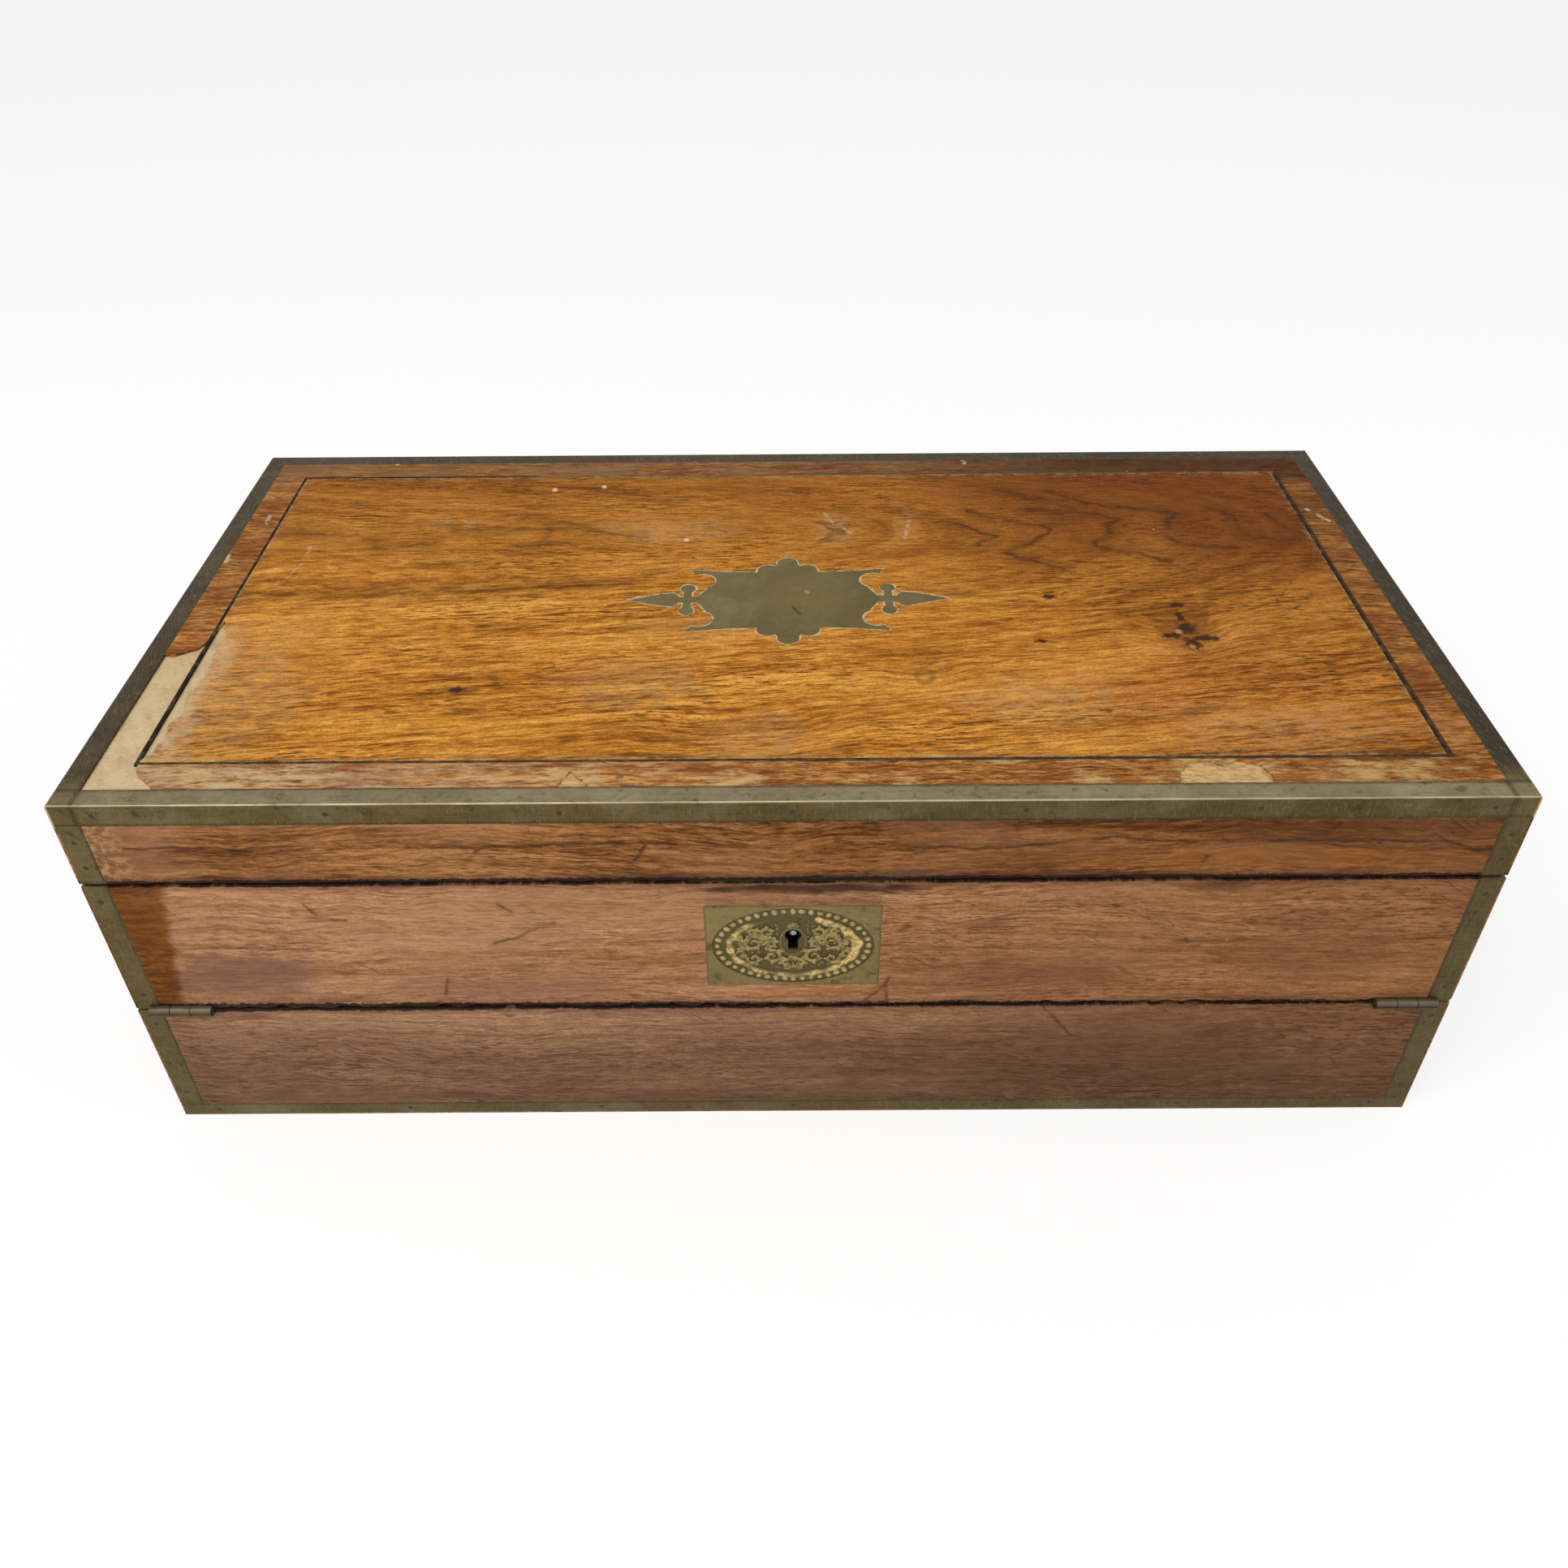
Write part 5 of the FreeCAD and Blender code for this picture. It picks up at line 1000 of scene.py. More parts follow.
@dataclass(frozen=True)
class StringLine(Finish):
    """The dark line inlaid round the top, with grey dust in its scratches."""

    def make(self, board: Board) -> Material:
        """Black-brown line, dustier in front and greyed out along the back."""
        x, y, z = board.place()
        dust = board.cloud(x * 0.14, y * 0.14, z, 4.0, 0.7)
        front = y.rise(-106.0, -108.0)
        faded = y.rise(106.0, 108.0) * x.rise(-128.0, -112.0)
        share = (dust.rise(0.47, 0.62) * 0.3 + front * 0.12 + faded * 0.5).held()
        colour = board.mix(share, (0.018, 0.013, 0.007), (0.22, 0.155, 0.085))
        return board.surface(colour, 0.7, board.relief(dust, 0.1), Specular_IOR_Level=0.05)


# ------------------------------------------------------------------ modelling moves
class Bench:
    """Modelling moves that every sub-assembly shares."""

    @staticmethod
    def take(*pieces: Piece) -> None:
        """Selects these pieces and nothing else; the first is the active one."""
        bpy.ops.object.select_all(action="DESELECT")
        for piece in pieces:
            piece.select_set(True)
        bpy.context.view_layer.objects.active = pieces[0]

    @staticmethod
    def new(name: str, data: bpy.types.ID) -> Piece:
        """Puts a new object that holds data into the scene."""
        piece = bpy.data.objects.new(name, data)
        bpy.context.collection.objects.link(piece)
        return piece

    @staticmethod
    def drop(piece: Piece) -> None:
        """Removes a piece that was only a tool or a pattern."""
        bpy.data.objects.remove(piece, do_unlink=True)

    @staticmethod
    def primitive(kind: str, name: str, **settings: object) -> Piece:
        """Adds a primitive at its size and place.

        Args:
            kind: cube, cylinder, cone, uv_sphere or another mesh primitive.
            name: the piece's name.
            settings: what the operator takes; scale is applied to the mesh.

        Returns:
            The piece, with its place in its mesh.
        """
        bpy.ops.object.select_all(action="DESELECT")
        getattr(bpy.ops.mesh, f"primitive_{kind}_add")(**settings)
        piece = bpy.context.object
        piece.name = name
        Bench.settle(piece)
        return piece

    @staticmethod
    def settle(piece: Piece) -> None:
        """Puts a piece's place, turn and scale into its mesh."""
        Bench.take(piece)
        bpy.ops.object.transform_apply(location=True, rotation=True, scale=True)

    @staticmethod
    @contextmanager
    def editing(piece: Piece, select: str = "FACE", everything: bool = False) -> Iterator[None]:
        """Edit mode on one piece, with nothing or everything in it selected."""
        Bench.take(piece)
        bpy.ops.object.mode_set(mode="EDIT")
        bpy.ops.mesh.select_mode(type=select)
        bpy.ops.mesh.select_all(action="SELECT" if everything else "DESELECT")
        yield
        bpy.ops.object.mode_set(mode="OBJECT")

    @staticmethod
    def pick_faces(piece: Piece, test: Callable[[bmesh.types.BMFace], bool]) -> None:
        """In edit mode, selects the faces that pass a test and no others."""
        mesh = bmesh.from_edit_mesh(piece.data)
        for face in mesh.faces:
            face.select_set(False)
        for face in mesh.faces:
            if test(face):
                face.select_set(True)
        bmesh.update_edit_mesh(piece.data)

    @staticmethod
    def apply(piece: Piece, kind: str, **settings: object) -> None:
        """Adds a modifier with its settings and applies it."""
        modifier = piece.modifiers.new(kind.title(), kind)
        for name, value in settings.items():
            setattr(modifier, name, value)
        Bench.take(piece)
        bpy.ops.object.modifier_apply(modifier=modifier.name)

    @staticmethod
    def carve(piece: Piece, cutter: Piece, operation: str = "DIFFERENCE") -> None:
        """Cuts or joins with another closed mesh and removes that mesh."""
        Bench.apply(piece, "BOOLEAN", object=cutter, operation=operation, solver="EXACT")
        Bench.drop(cutter)

    @staticmethod
    def join(name: str, pieces: Sequence[Piece], angle: float = 35.0) -> Piece:
        """Joins placed pieces into one, and shades it smoothly except at edges sharper than angle."""
        Bench.take(*pieces)
        bpy.ops.object.join()
        pieces[0].name = name
        Bench.settle(pieces[0])
        Bench.shade(pieces[0], angle)
        return pieces[0]

    @staticmethod
    def clone(piece: Piece, name: str) -> Piece:
        """A copy with its own mesh."""
        return Bench.new(name, piece.data.copy())

    @staticmethod
    def copy_of_node(node: str, name: str, flat: bool = True) -> Piece:
        """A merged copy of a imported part's mesh, ready to be edited.

        Args:
            node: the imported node.
            name: the new piece's name.
            flat: whether coplanar triangles become whole faces.

        Returns:
            The copy, which rides on nothing yet.
        """
        made = Bench.clone(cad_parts[node], name)
        with Bench.editing(made, "VERT", True):
            bpy.ops.mesh.remove_doubles(threshold=2e-6)
            if flat:
                bpy.ops.mesh.dissolve_limited(angle_limit=math.radians(0.5))
        return made

    @staticmethod
    def wire(name: str, points: Sequence[Sequence[float]], radii: Sequence[float], closed: bool = False,
             sides: int = 2) -> Piece:
        """A round bar along a smooth line, as a mesh.

        Args:
            name: the piece's name.
            points: its line in millimetres.
            radii: the bar's radius at each point in millimetres.
            closed: whether the line joins up.
            sides: how finely the bar is rounded.

        Returns:
            The piece.
        """
        curve = bpy.data.curves.new(name, "CURVE")
        curve.dimensions = "3D"
        curve.bevel_depth = MM
        curve.bevel_resolution = sides
        curve.use_fill_caps = not closed
        curve.resolution_u = 3
        spline = curve.splines.new("NURBS")
        spline.points.add(len(points) - 1)
        for point, place, radius in zip(spline.points, points, radii):
            point.co = (*(c * MM for c in place), 1.0)
            point.radius = radius
        spline.use_cyclic_u = closed
        spline.use_endpoint_u = not closed
        spline.order_u = 3
        Bench.take(Bench.new(name, curve))
        bpy.ops.object.convert(target="MESH")
        return bpy.context.object

    @staticmethod
    def shade(piece: Piece, angle: float = 35.0) -> None:
        """Shades smoothly except at edges sharper than angle."""
        Bench.take(piece)
        bpy.ops.object.shade_smooth_by_angle(angle=math.radians(angle))


def finished(piece: Piece, body: str, slot: str, finish: Finish, *nodes: str) -> Piece:
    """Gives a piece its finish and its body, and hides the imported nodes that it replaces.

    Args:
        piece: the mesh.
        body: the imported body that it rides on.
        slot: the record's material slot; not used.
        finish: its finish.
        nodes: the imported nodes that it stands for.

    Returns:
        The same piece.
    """
    piece.data.materials.clear()
    piece.data.materials.append(finish.material())
    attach(piece, body)
    if nodes:
        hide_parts(*nodes)
    LOG.info("%s rides on %s: %d faces", piece.name, body, len(piece.data.polygons))
    return piece


# ------------------------------------------------------------------ finishes by name
FIELD = LidField(
    "top_field_veneer", Lay.FLAT, 1.7, haze_colour=(0.56, 0.325, 0.14), band_share=0.75, streak_share=0.95,
    fibre_share=1.15, grit_share=1.05)
BORDER_ALONG = Border(
    "top_border_veneer", Lay.FLAT, 14.0, dark=(0.17, 0.048, 0.008), middle=(0.41, 0.15, 0.027),
    light=(0.66, 0.305, 0.08), fibre_share=1.7)
LID_FRONT = FrontVeneer(
    "lid_front_veneer", Lay.UPRIGHT, 21.0, dark=(0.105, 0.032, 0.006), middle=(0.3, 0.118, 0.033),
    light=(0.52, 0.24, 0.085), pore_colour=(0.055, 0.018, 0.006), haze_colour=(0.42, 0.205, 0.11),
    haze_share=0.5, seams=((LID_FOOT, 1.3, 1.3),), band_share=1.4, streak_share=1.1, vein_share=0.5,
    rubbed_end=0.8, pore_share=0.65, crack_share=0.55, cracks=(
        ((-229, 146.6), (-215, 146.9), (-195, 146.6), (-186, 145)),
        ((-132, 146.8), (-110, 146.2), (-90, 146.9), (-70, 148.5), (-40, 147.5)),
        ((36, 145.5), (57, 144.8), (71, 144.6), (84, 146), (108.6, 149.4), (126, 147.3), (170, 147.2),
         (223, 146.6), (234, 142.4), (242, 143)),
        ((-109, 144.4), (-106.5, 145.8)), ((-54.9, 139.4), (-50.6, 146.6)), ((142, 137.6), (143.2, 140)),
        ((182, 151), (185, 154))),
    patches=(((175, 153), (85, 6), (0.115, 0.034, 0.008), 0.5),
             ((150, 139), (90, 6.5), (0.44, 0.17, 0.038), 0.4)))
FLAP_FRONT = FrontVeneer(
    "flap_veneer", Lay.UPRIGHT, 33.0, dark=(0.275, 0.115, 0.046), middle=(0.51, 0.246, 0.112),
    light=(0.69, 0.375, 0.19), pore_colour=(0.135, 0.055, 0.026), haze_colour=(0.45, 0.225, 0.13),
    haze_share=0.4, seams=((FLAP_TOP, 0.35, 0.35), (FLAP_FOOT, 2.4, 0.8)), groove=125.8, varnish=0.97,
    keyhole=99.6, band_share=0.6, streak_share=1.0, fibre_share=1.0, pore_share=0.7, pale_share=0.25,
    crack_share=0.48, cracks=(
        ((-174, 120), (-172.6, 117), (-170.6, 114.4)), ((-173.4, 113), (-160.6, 111.6)),
        ((-109, 99.4), (-100, 102.5), (-92, 107.5), (-86, 109.4)), ((-105, 119.4), (-100.6, 115.1)),
        ((-129, 81), (-131, 72)), ((143, 99.5), (144.2, 97.6)),
        ((36, 80), (34.5, 76), (27, 67)), ((34.5, 76), (35.5, 67.5))),
    patches=(((-205, 82), (42, 19), (0.235, 0.112, 0.072), 0.75),
             ((-105, 75), (70, 10), (0.3, 0.14, 0.088), 0.45),
             ((-60, 116), (130, 11), (0.5, 0.255, 0.105), 0.4),
             ((80, 79), (60, 12), (0.24, 0.11, 0.062), 0.45),
             ((195, 95), (48, 26), (0.27, 0.12, 0.068), 0.4),
             ((150, 126), (22, 3), (0.14, 0.055, 0.028), 0.55)))
BASE_FRONT = FrontVeneer(
    "base_front_veneer", Lay.UPRIGHT, 47.0, dark=(0.2, 0.094, 0.05), middle=(0.375, 0.194, 0.1),
    light=(0.55, 0.302, 0.16), pore_colour=(0.095, 0.045, 0.026), haze_colour=(0.34, 0.175, 0.105),
    haze_share=0.35, seams=((BASE_TOP, 1.0, 0.4),), band_share=0.75, streak_share=0.8, fibre_share=1.1,
    pore_share=0.75, pale_share=0.3, crack_share=0.45, cracks=(((94.7, 64), (100, 57), (108, 46.3)),),
    patches=(((120, 32), (150, 30), (0.185, 0.088, 0.05), 0.55),
             ((-30, 10), (220, 9), (0.2, 0.1, 0.06), 0.45),
             ((-215, 25), (36, 20), (0.24, 0.115, 0.072), 0.4)))
CASE_SIDES = FrontVeneer(
    "case_side_veneer", Lay.END, 61.0, outside=250.0, dark=(0.15, 0.052, 0.015), middle=(0.31, 0.124, 0.044),
    light=(0.46, 0.215, 0.09), haze_colour=(0.36, 0.185, 0.105), haze_share=0.45,
    seams=((130.15, 0.12, 0.12),), band_share=1.3, streak_share=1.0, fibre_share=1.0, pore_share=0.75,
    pale_share=0.3, crack_share=0.45, cracks=(
        ((-60, 92), (-52, 84)), ((38, 118), (41, 109), (47, 104)), ((-96, 40), (-70, 39))),
    patches=(((-20, 20), (110, 16), (0.17, 0.075, 0.036), 0.55),
             ((40, 95), (60, 22), (0.4, 0.185, 0.085), 0.35)))
CASE_BACK = replace(
    CASE_SIDES, name="case_back_veneer", lay=Lay.UPRIGHT, seed=77.0, outside=131.0, cracks=(
        ((-120, 60), (-96, 54)), ((70, 108), (74, 96), (83, 88)), ((150, 24), (171, 26))),
    patches=(((0, 12), (220, 12), (0.17, 0.075, 0.036), 0.55),
             ((-80, 90), (120, 26), (0.4, 0.185, 0.085), 0.35),
             ((160, 60), (60, 30), (0.15, 0.062, 0.028), 0.45)))
MAHOGANY = PlainWood("mahogany_inside", Lay.FLAT, 5.0)
MAHOGANY_ENDS = replace(MAHOGANY, name="mahogany_inside_ends", lay=Lay.FLAT_TURNED, seed=15.0)
MAHOGANY_UPRIGHT = replace(MAHOGANY, name="mahogany_inside_upright", lay=Lay.UPRIGHT, seed=25.0)
GROUND = GroundWood("bare_ground")
BRASS = Brass("tarnished_brass")
EDGE_BRASS = Brass("edge_strip_brass", edges=((2, 157.0), (1, 122.5), (0, 241.5)))
STRAP_BRASS = Brass(
    "corner_strip_brass", body=(0.123, 0.086, 0.024), seed=2.0, bloom_share=0.15,
    edges=((0, 240.5), (2, 130.2)))
FOOT_BRASS = Brass("base_strip_brass", seed=4.0, edges=((2, 7.0),))
HINGE_BRASS = Brass(
    "hinge_brass", body=(0.048, 0.034, 0.015), bloom=(0.13, 0.104, 0.06), rubbed=(0.21, 0.175, 0.115),
    rubbed_and_highlight_share=0.4, bloom_share=0.6, polish=0.6, metal=0.4, seed=6.0)
SHIELD_BRASS = ShieldBrass("shield_brass", body=(0.122, 0.089, 0.022), bloom=(0.2, 0.16, 0.07))
HANDLED_BRASS = Brass(
    "handled_brass", body=(0.62, 0.47, 0.22), bloom=(0.55, 0.46, 0.29), rubbed=(0.82, 0.68, 0.4),
    polish=0.3, metal=0.95)
PLATE_BRASS = EngravedBrass(
    "lock_plate_brass", body=(0.255, 0.19, 0.07), bloom=(0.28, 0.225, 0.108), gold_share=0.0)
RIBBON_BRASS = EngravedBrass(
    "lock_plate_gilt", body=(0.2, 0.15, 0.056), bloom=(0.24, 0.19, 0.09), gold=(0.78, 0.56, 0.2),
    gold_share=1.0)
RELIEF_BRASS = EngravedBrass(
    "lock_plate_relief", body=(0.14, 0.106, 0.044), bloom=(0.21, 0.17, 0.085), gold=(0.41, 0.31, 0.112))
BEAD_BRASS = EngravedBrass(
    "lock_plate_beads", body=(0.3, 0.225, 0.09), bloom=(0.34, 0.27, 0.13), gold=(0.66, 0.5, 0.2),
    gold_share=0.85)
NAIL = DarkIron("nail_heads", (0.028, 0.02, 0.011), 0.2)
IRON = DarkIron("steel_works")
LOCK_IRON = DarkIron("lock_iron", pin=102.2)
GREEN_LEATHER = Leather("green_writing_leather")
RED_LEATHER = Leather(
    "red_lining_leather", (0.17, 0.045, 0.028), (0.26, 0.095, 0.06), (222.0, 102.0), (0.0, 0.0))
FLAP_LEATHER = replace(
    RED_LEATHER, name="flap_lining_leather", half=(235.0, 26.85), middle=(0.0, 96.95), lay=Lay.UPRIGHT)
GLASS = ClearGlass("inkwell_glass")
FILLER = Filler("inlay_filler")
STRING = StringLine("string_line")

CARRIED: Dict[str, Tuple[str, Finish]] = {name: (slot, finish) for slot, finish, names in (
    ("mahogany", MAHOGANY,
     "bottom_board dust_board drawer_guides slope_frame_rails lid_lining_frame drawer_sides "
     "drawer_bottom writing_board pen_tray"),
    ("rosewood", BASE_FRONT, "case_front_wall"),
    ("rosewood", CASE_BACK, "case_back_wall lid_back_wall"),
    ("rosewood", CASE_SIDES, "case_left_wall case_right_wall lid_end_walls drawer_front"),
    ("mahogany", MAHOGANY_UPRIGHT, "pen_partition"),
    ("mahogany", MAHOGANY_ENDS, "well_dividers drawer_back"),
    ("brass", FOOT_BRASS, "case_bottom_strips"),
    ("brass", STRAP_BRASS, "case_corner_strips flap_corner_strips lid_corner_strips"),
    ("brass", NAIL, "case_strip_pins flap_strip_pins lid_strip_pins"),
    ("brass", HINGE_BRASS, "flap_hinge_lower_leaves flap_hinge_upper_leaves"),
    ("brass", BRASS,
     "lid_hinge_lower_leaves board_hinge_fixed_leaves side_handle_cup lock_selvedge "
     "lid_hinge_upper_leaves link_plate drawer_handle_cup board_hinge_moving_leaves"),
    ("steel", IRON, "hinge_pins"),
    ("rosewood", FLAP_FRONT, "flap_panel"),
    ("brass", PLATE_BRASS, "lock_plate"),
    ("steel", LOCK_IRON, "lock_case"),
    ("lining_leather", FLAP_LEATHER, "flap_lining"),
    ("pine", GROUND, "lid_top_board"),
    ("rosewood", LID_FRONT, "lid_front_wall"),
    ("rosewood", FIELD, "lid_veneer_field"),
    ("rosewood", BORDER_ALONG, "lid_veneer_border"),
    ("stringing", STRING, "lid_string_inlay"),
    ("brass", SHIELD_BRASS, "lid_cartouche"),
    ("brass", EDGE_BRASS, "lid_edge_strips"),
    ("lining_leather", RED_LEATHER, "lid_lining"),
    ("bright_brass", HANDLED_BRASS,
     "drawer_handle_bail side_handle_bail drawer_lock_pin lock_bolt left_inkwell_cap right_inkwell_cap"),
    ("writing_leather", GREEN_LEATHER, "writing_leather"),
    ("glass", GLASS, "left_inkwell right_inkwell"),
    ("brass", HANDLED_BRASS, "left_inkwell_collar right_inkwell_collar"),
) for name in names.split()}


# ------------------------------------------------------------------ sub-assemblies
@dataclass
class CarriedParts:
    """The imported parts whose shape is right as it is."""

    table: Dict[str, Tuple[str, Finish]]

    def dress(self) -> None:
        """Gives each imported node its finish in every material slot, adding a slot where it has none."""
        for name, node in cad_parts.items():
            slot, finish = self.table[name]
            while len(node.material_slots) < 1:
                node.data.materials.append(None)
            for holder in node.material_slots:
                holder.material = finish.material()


@dataclass
class LockPlate:
    """The rectangular plate in the flap with its oval of scrolls round the keyhole.

    A curl is its eye, radius, number of turns, angle of its start and hand. A palmette is its foot, the
    number of its petals and their length. Both are measured from the plate's middle. A point of the
    ribbon's fold is how far right of and above the ribbon's start it lies, and its radius. A leaf and a
    petal are their length, thickness and width.
    """

    width: float = 64.0
    height: float = 41.2
    bottom: float = 76.4
    face: float = 131.0
    back: float = 129.8
    field_depth: float = 0.35
    oval_half: Point2 = (29.7, 19.4)
    bead_half: Point2 = (27.7, 17.5)
    ribbon_half: Point2 = (23.3, 14.1)
    field_half: Point2 = (20.4, 11.6)
    bead_count: int = 44
    ribbon_top: Point2 = (62.0, 112.0)
    keyhole_head: float = 3.0
    keyhole_centre: float = 102.2
    keyhole_slot: float = 3.6
    keyhole_foot: float = 95.0
    pellets: int = 90
    pellet_gap: float = 1.25
    collar_half: Point2 = (4.7, 6.9)
    oval_steps: int = 720
    seed: int = 5
    bevel: Point2 = (0.5, 0.12)
    bead_size: Point2 = (1.1, 1.48)
    bead_share: Point2 = (1.15, 0.8)
    bead_narrow: float = 0.9
    bead_thick: float = 0.5
    ribbon_steps: int = 84
    ribbon_radius: float = 1.25
    ribbon_bulge: Point2 = (1.25, 0.55)
    ribbon_waves: Tuple[int, int] = (11, 14)
    ribbon_jitter: float = 0.22
    ribbon_sag: float = 1.4
    ribbon_flat: float = 0.3
    ribbon_sunk: float = 0.25
    fold: Tuple[Point3, ...] = ((-2.6, 2.3, 1.0), (-1.8, 1.0, 1.9), (0.2, -0.2, 1.6), (2.6, -1.4, 0.7))
    fold_flat: float = 0.36
    stem_shrink: Point2 = (0.84, 0.4)
    stem_flat: float = 0.62
    leaf: Point3 = (1.6, 0.46, 1.05)
    leaf_out: float = 1.15
    petal: Point3 = (0.5, 0.42, 0.68)
    petal_out: float = 0.55
    pellet_size: Point2 = (0.55, 0.95)
    pellet_long: Point2 = (0.9, 1.5)
    pellet_thick: float = 0.4
    free_side: float = 5.2
    free_span: Point2 = (-4.6, 10.6)
    collar_lift: float = 0.6
    collar_radius: float = 0.75
    collar_steps: int = 32
    curls: Tuple[Tuple[Point2, float, float, float, int], ...] = (
        ((14.4, 1.4), 4.2, 1.5, 2.6, -1), ((7.6, -5.4), 3.6, 1.4, 1.2, 1), ((14.4, -6.6), 2.8, 1.2, 0.4, -1),
        ((9.2, 7), 2.9, 1.3, 4.2, 1), ((15.2, 7.4), 1.9, 1.1, 5, -1), ((19.4, -1.6), 1.6, 1.1, 1.8, 1),
        ((8.2, 1), 2, 1.2, 0.2, 1), ((2.6, -8.6), 1.8, 1.1, 2.2, -1), ((19, 4.2), 1.3, 1, 3.8, 1))
    palmettes: Tuple[Tuple[Point2, int, float], ...] = (((0.0, -12.4), 7, 4.0), ((0.0, 9.6), 5, 2.6))

    @property
    def middle(self) -> float:
        """The height of the plate's middle."""
        return self.bottom + self.height / 2

    def even_turns(self, half: Point2, count: int) -> List[float]:
        """Angles that cut an oval into pieces of the same length."""
        fine = [2 * math.pi * i / self.oval_steps for i in range(self.oval_steps + 1)]
        line = [(half[0] * math.cos(t), half[1] * math.sin(t)) for t in fine]
        reach = [0.0]
        for a, b in zip(line, line[1:]):
            reach.append(reach[-1] + math.dist(a, b))
        turns = []
        for i in range(count):
            wanted = reach[-1] * i / count
            j = next(k for k, r in enumerate(reach) if r >= wanted)
            turns.append(fine[j])
        return turns

    def on_oval(self, half: Point2, turn: float, lift: float) -> Point3:
        """A point of an upright oval on the plate, lift in front of its face."""
        return half[0] * math.cos(turn), -self.face - lift, self.middle + half[1] * math.sin(turn)

    @staticmethod
    def ball(name: str) -> Piece:
        """A coarse ball of 1 mm radius."""
        return Bench.primitive("uv_sphere", name, segments=8, ring_count=5, radius=MM)

    @staticmethod
    def lump(
        piece: Piece, size: Sequence[float], turn: float, place: Sequence[float]
    ) -> Piece:
        """Sizes a ball, turns it about y and puts it at a place in millimetres."""
        piece.scale, piece.rotation_euler, piece.location = size, (0, turn, 0), Vector(place) * MM
        return piece

    def flatten(self, piece: Piece, floor: float, share: float) -> Piece:
        """Squashes a piece towards the plane y = -floor, so that rods become low relief."""
        with Bench.editing(piece, "VERT", True):
            bpy.ops.transform.resize(value=(1, share, 1), center_override=(0, -floor * MM, 0))
        return piece

    def sheet(self) -> Piece:
        """The plate itself: eased edges, a sunk oval field and the keyhole."""
        depth = self.face - self.back
        piece = Bench.primitive(
            "cube", "lock_plate_sheet", size=MM,
            location=(0, -(self.face - depth / 2) * MM, self.middle * MM),
            scale=(self.width, depth, self.height))
        with Bench.editing(piece):
            Bench.pick_faces(piece, lambda face: face.normal.y < -0.9)
            bpy.ops.mesh.inset(thickness=self.bevel[0] * MM)
            bpy.ops.transform.translate(value=(0, -self.bevel[1] * MM, 0))
        sunk = Bench.primitive(
            "cylinder", "field_cutter", vertices=96, radius=MM, depth=2 * self.field_depth * MM,
            location=(0, -(self.face + self.bevel[1]) * MM, self.middle * MM),
            rotation=(math.pi / 2, 0, 0), scale=(*self.oval_half, 1.0))
        Bench.carve(piece, sunk)
        Bench.carve(piece, self.keyhole("keyhole_cutter", 4.0))
        Bench.shade(piece)
        return piece

    def keyhole(self, name: str, depth: float) -> Piece:
        """A keyhole-shaped block, half of its depth on each side of the plate's face."""
        head = Bench.primitive(
            "cylinder", name, vertices=32, radius=self.keyhole_head * MM, depth=depth * MM,
            location=(0, -self.face * MM, self.keyhole_centre * MM), rotation=(math.pi / 2, 0, 0))
        slot = Bench.primitive(
            "cube", "slot", size=MM,
            location=(0, -self.face * MM, (self.keyhole_centre + self.keyhole_foot) / 2 * MM),
            scale=(self.keyhole_slot, depth, self.keyhole_centre - self.keyhole_foot))
        Bench.carve(head, slot, "UNION")
        return head

    def ribbon(self) -> Piece:
        """The flat gilt ribbon inside the beads: broad at the sides, open at the top, with one fold."""
        chance = random.Random(self.seed)
        floor = self.face - self.ribbon_sunk
        jitter = self.ribbon_jitter
        line, radii = [], []
        for i in range(self.ribbon_steps):
            share = i / (self.ribbon_steps - 1)
            degrees = self.ribbon_top[0] - share * (360.0 - self.ribbon_top[1] + self.ribbon_top[0])
            turn = math.radians(degrees)
            side = abs(math.cos(turn)) ** 1.5 * self.ribbon_bulge[0 if math.cos(turn) > 0 else 1]
            wave = 0.3 * math.sin(self.ribbon_waves[0] * turn) + chance.uniform(-jitter, jitter)
            sag = self.ribbon_sag * min(0.0, math.sin(turn))
            half = (self.ribbon_half[0] + wave, self.ribbon_half[1] - sag + wave)
            line.append(self.on_oval(half, turn, -self.ribbon_sunk))
            taper = min(1.0, (1.0 - share) * 9.0 + 0.25)
            ripple = 0.28 * math.sin(self.ribbon_waves[1] * turn) + chance.uniform(-jitter, jitter)
            radii.append((self.ribbon_radius + 0.7 * side + ripple) * taper)
        band = self.flatten(Bench.wire("ribbon", line, radii, False, 3), floor, self.ribbon_flat)
        x, y, z = line[0]
        fold = Bench.wire("fold", [(x + dx, y, z + dz) for dx, dz, _ in self.fold],
                          [radius for *_, radius in self.fold], False, 3)
        return Bench.join("lock_plate_ribbon", [band, self.flatten(fold, floor, self.fold_flat)], 60)

    def beads(self) -> Piece:
        """Lumps like small shells between the rim and the ribbon, each a little different."""
        chance = random.Random(self.seed + 1)
        first = Bench.primitive("uv_sphere", "bead", segments=10, ring_count=6, radius=MM)
        made = []
        for i, turn in enumerate(self.even_turns(self.bead_half, self.bead_count)):
            size = chance.uniform(*self.bead_size)
            wide, tall = self.bead_share if i % 2 else (self.bead_narrow, 1.0)
            made.append(self.lump(
                Bench.clone(first, "bead"), (size * wide, self.bead_thick, size * tall),
                -turn + chance.uniform(-0.35, 0.35), self.on_oval(self.bead_half, turn, -0.22)))
        Bench.drop(first)
        return Bench.join("lock_plate_beads", made, 80)

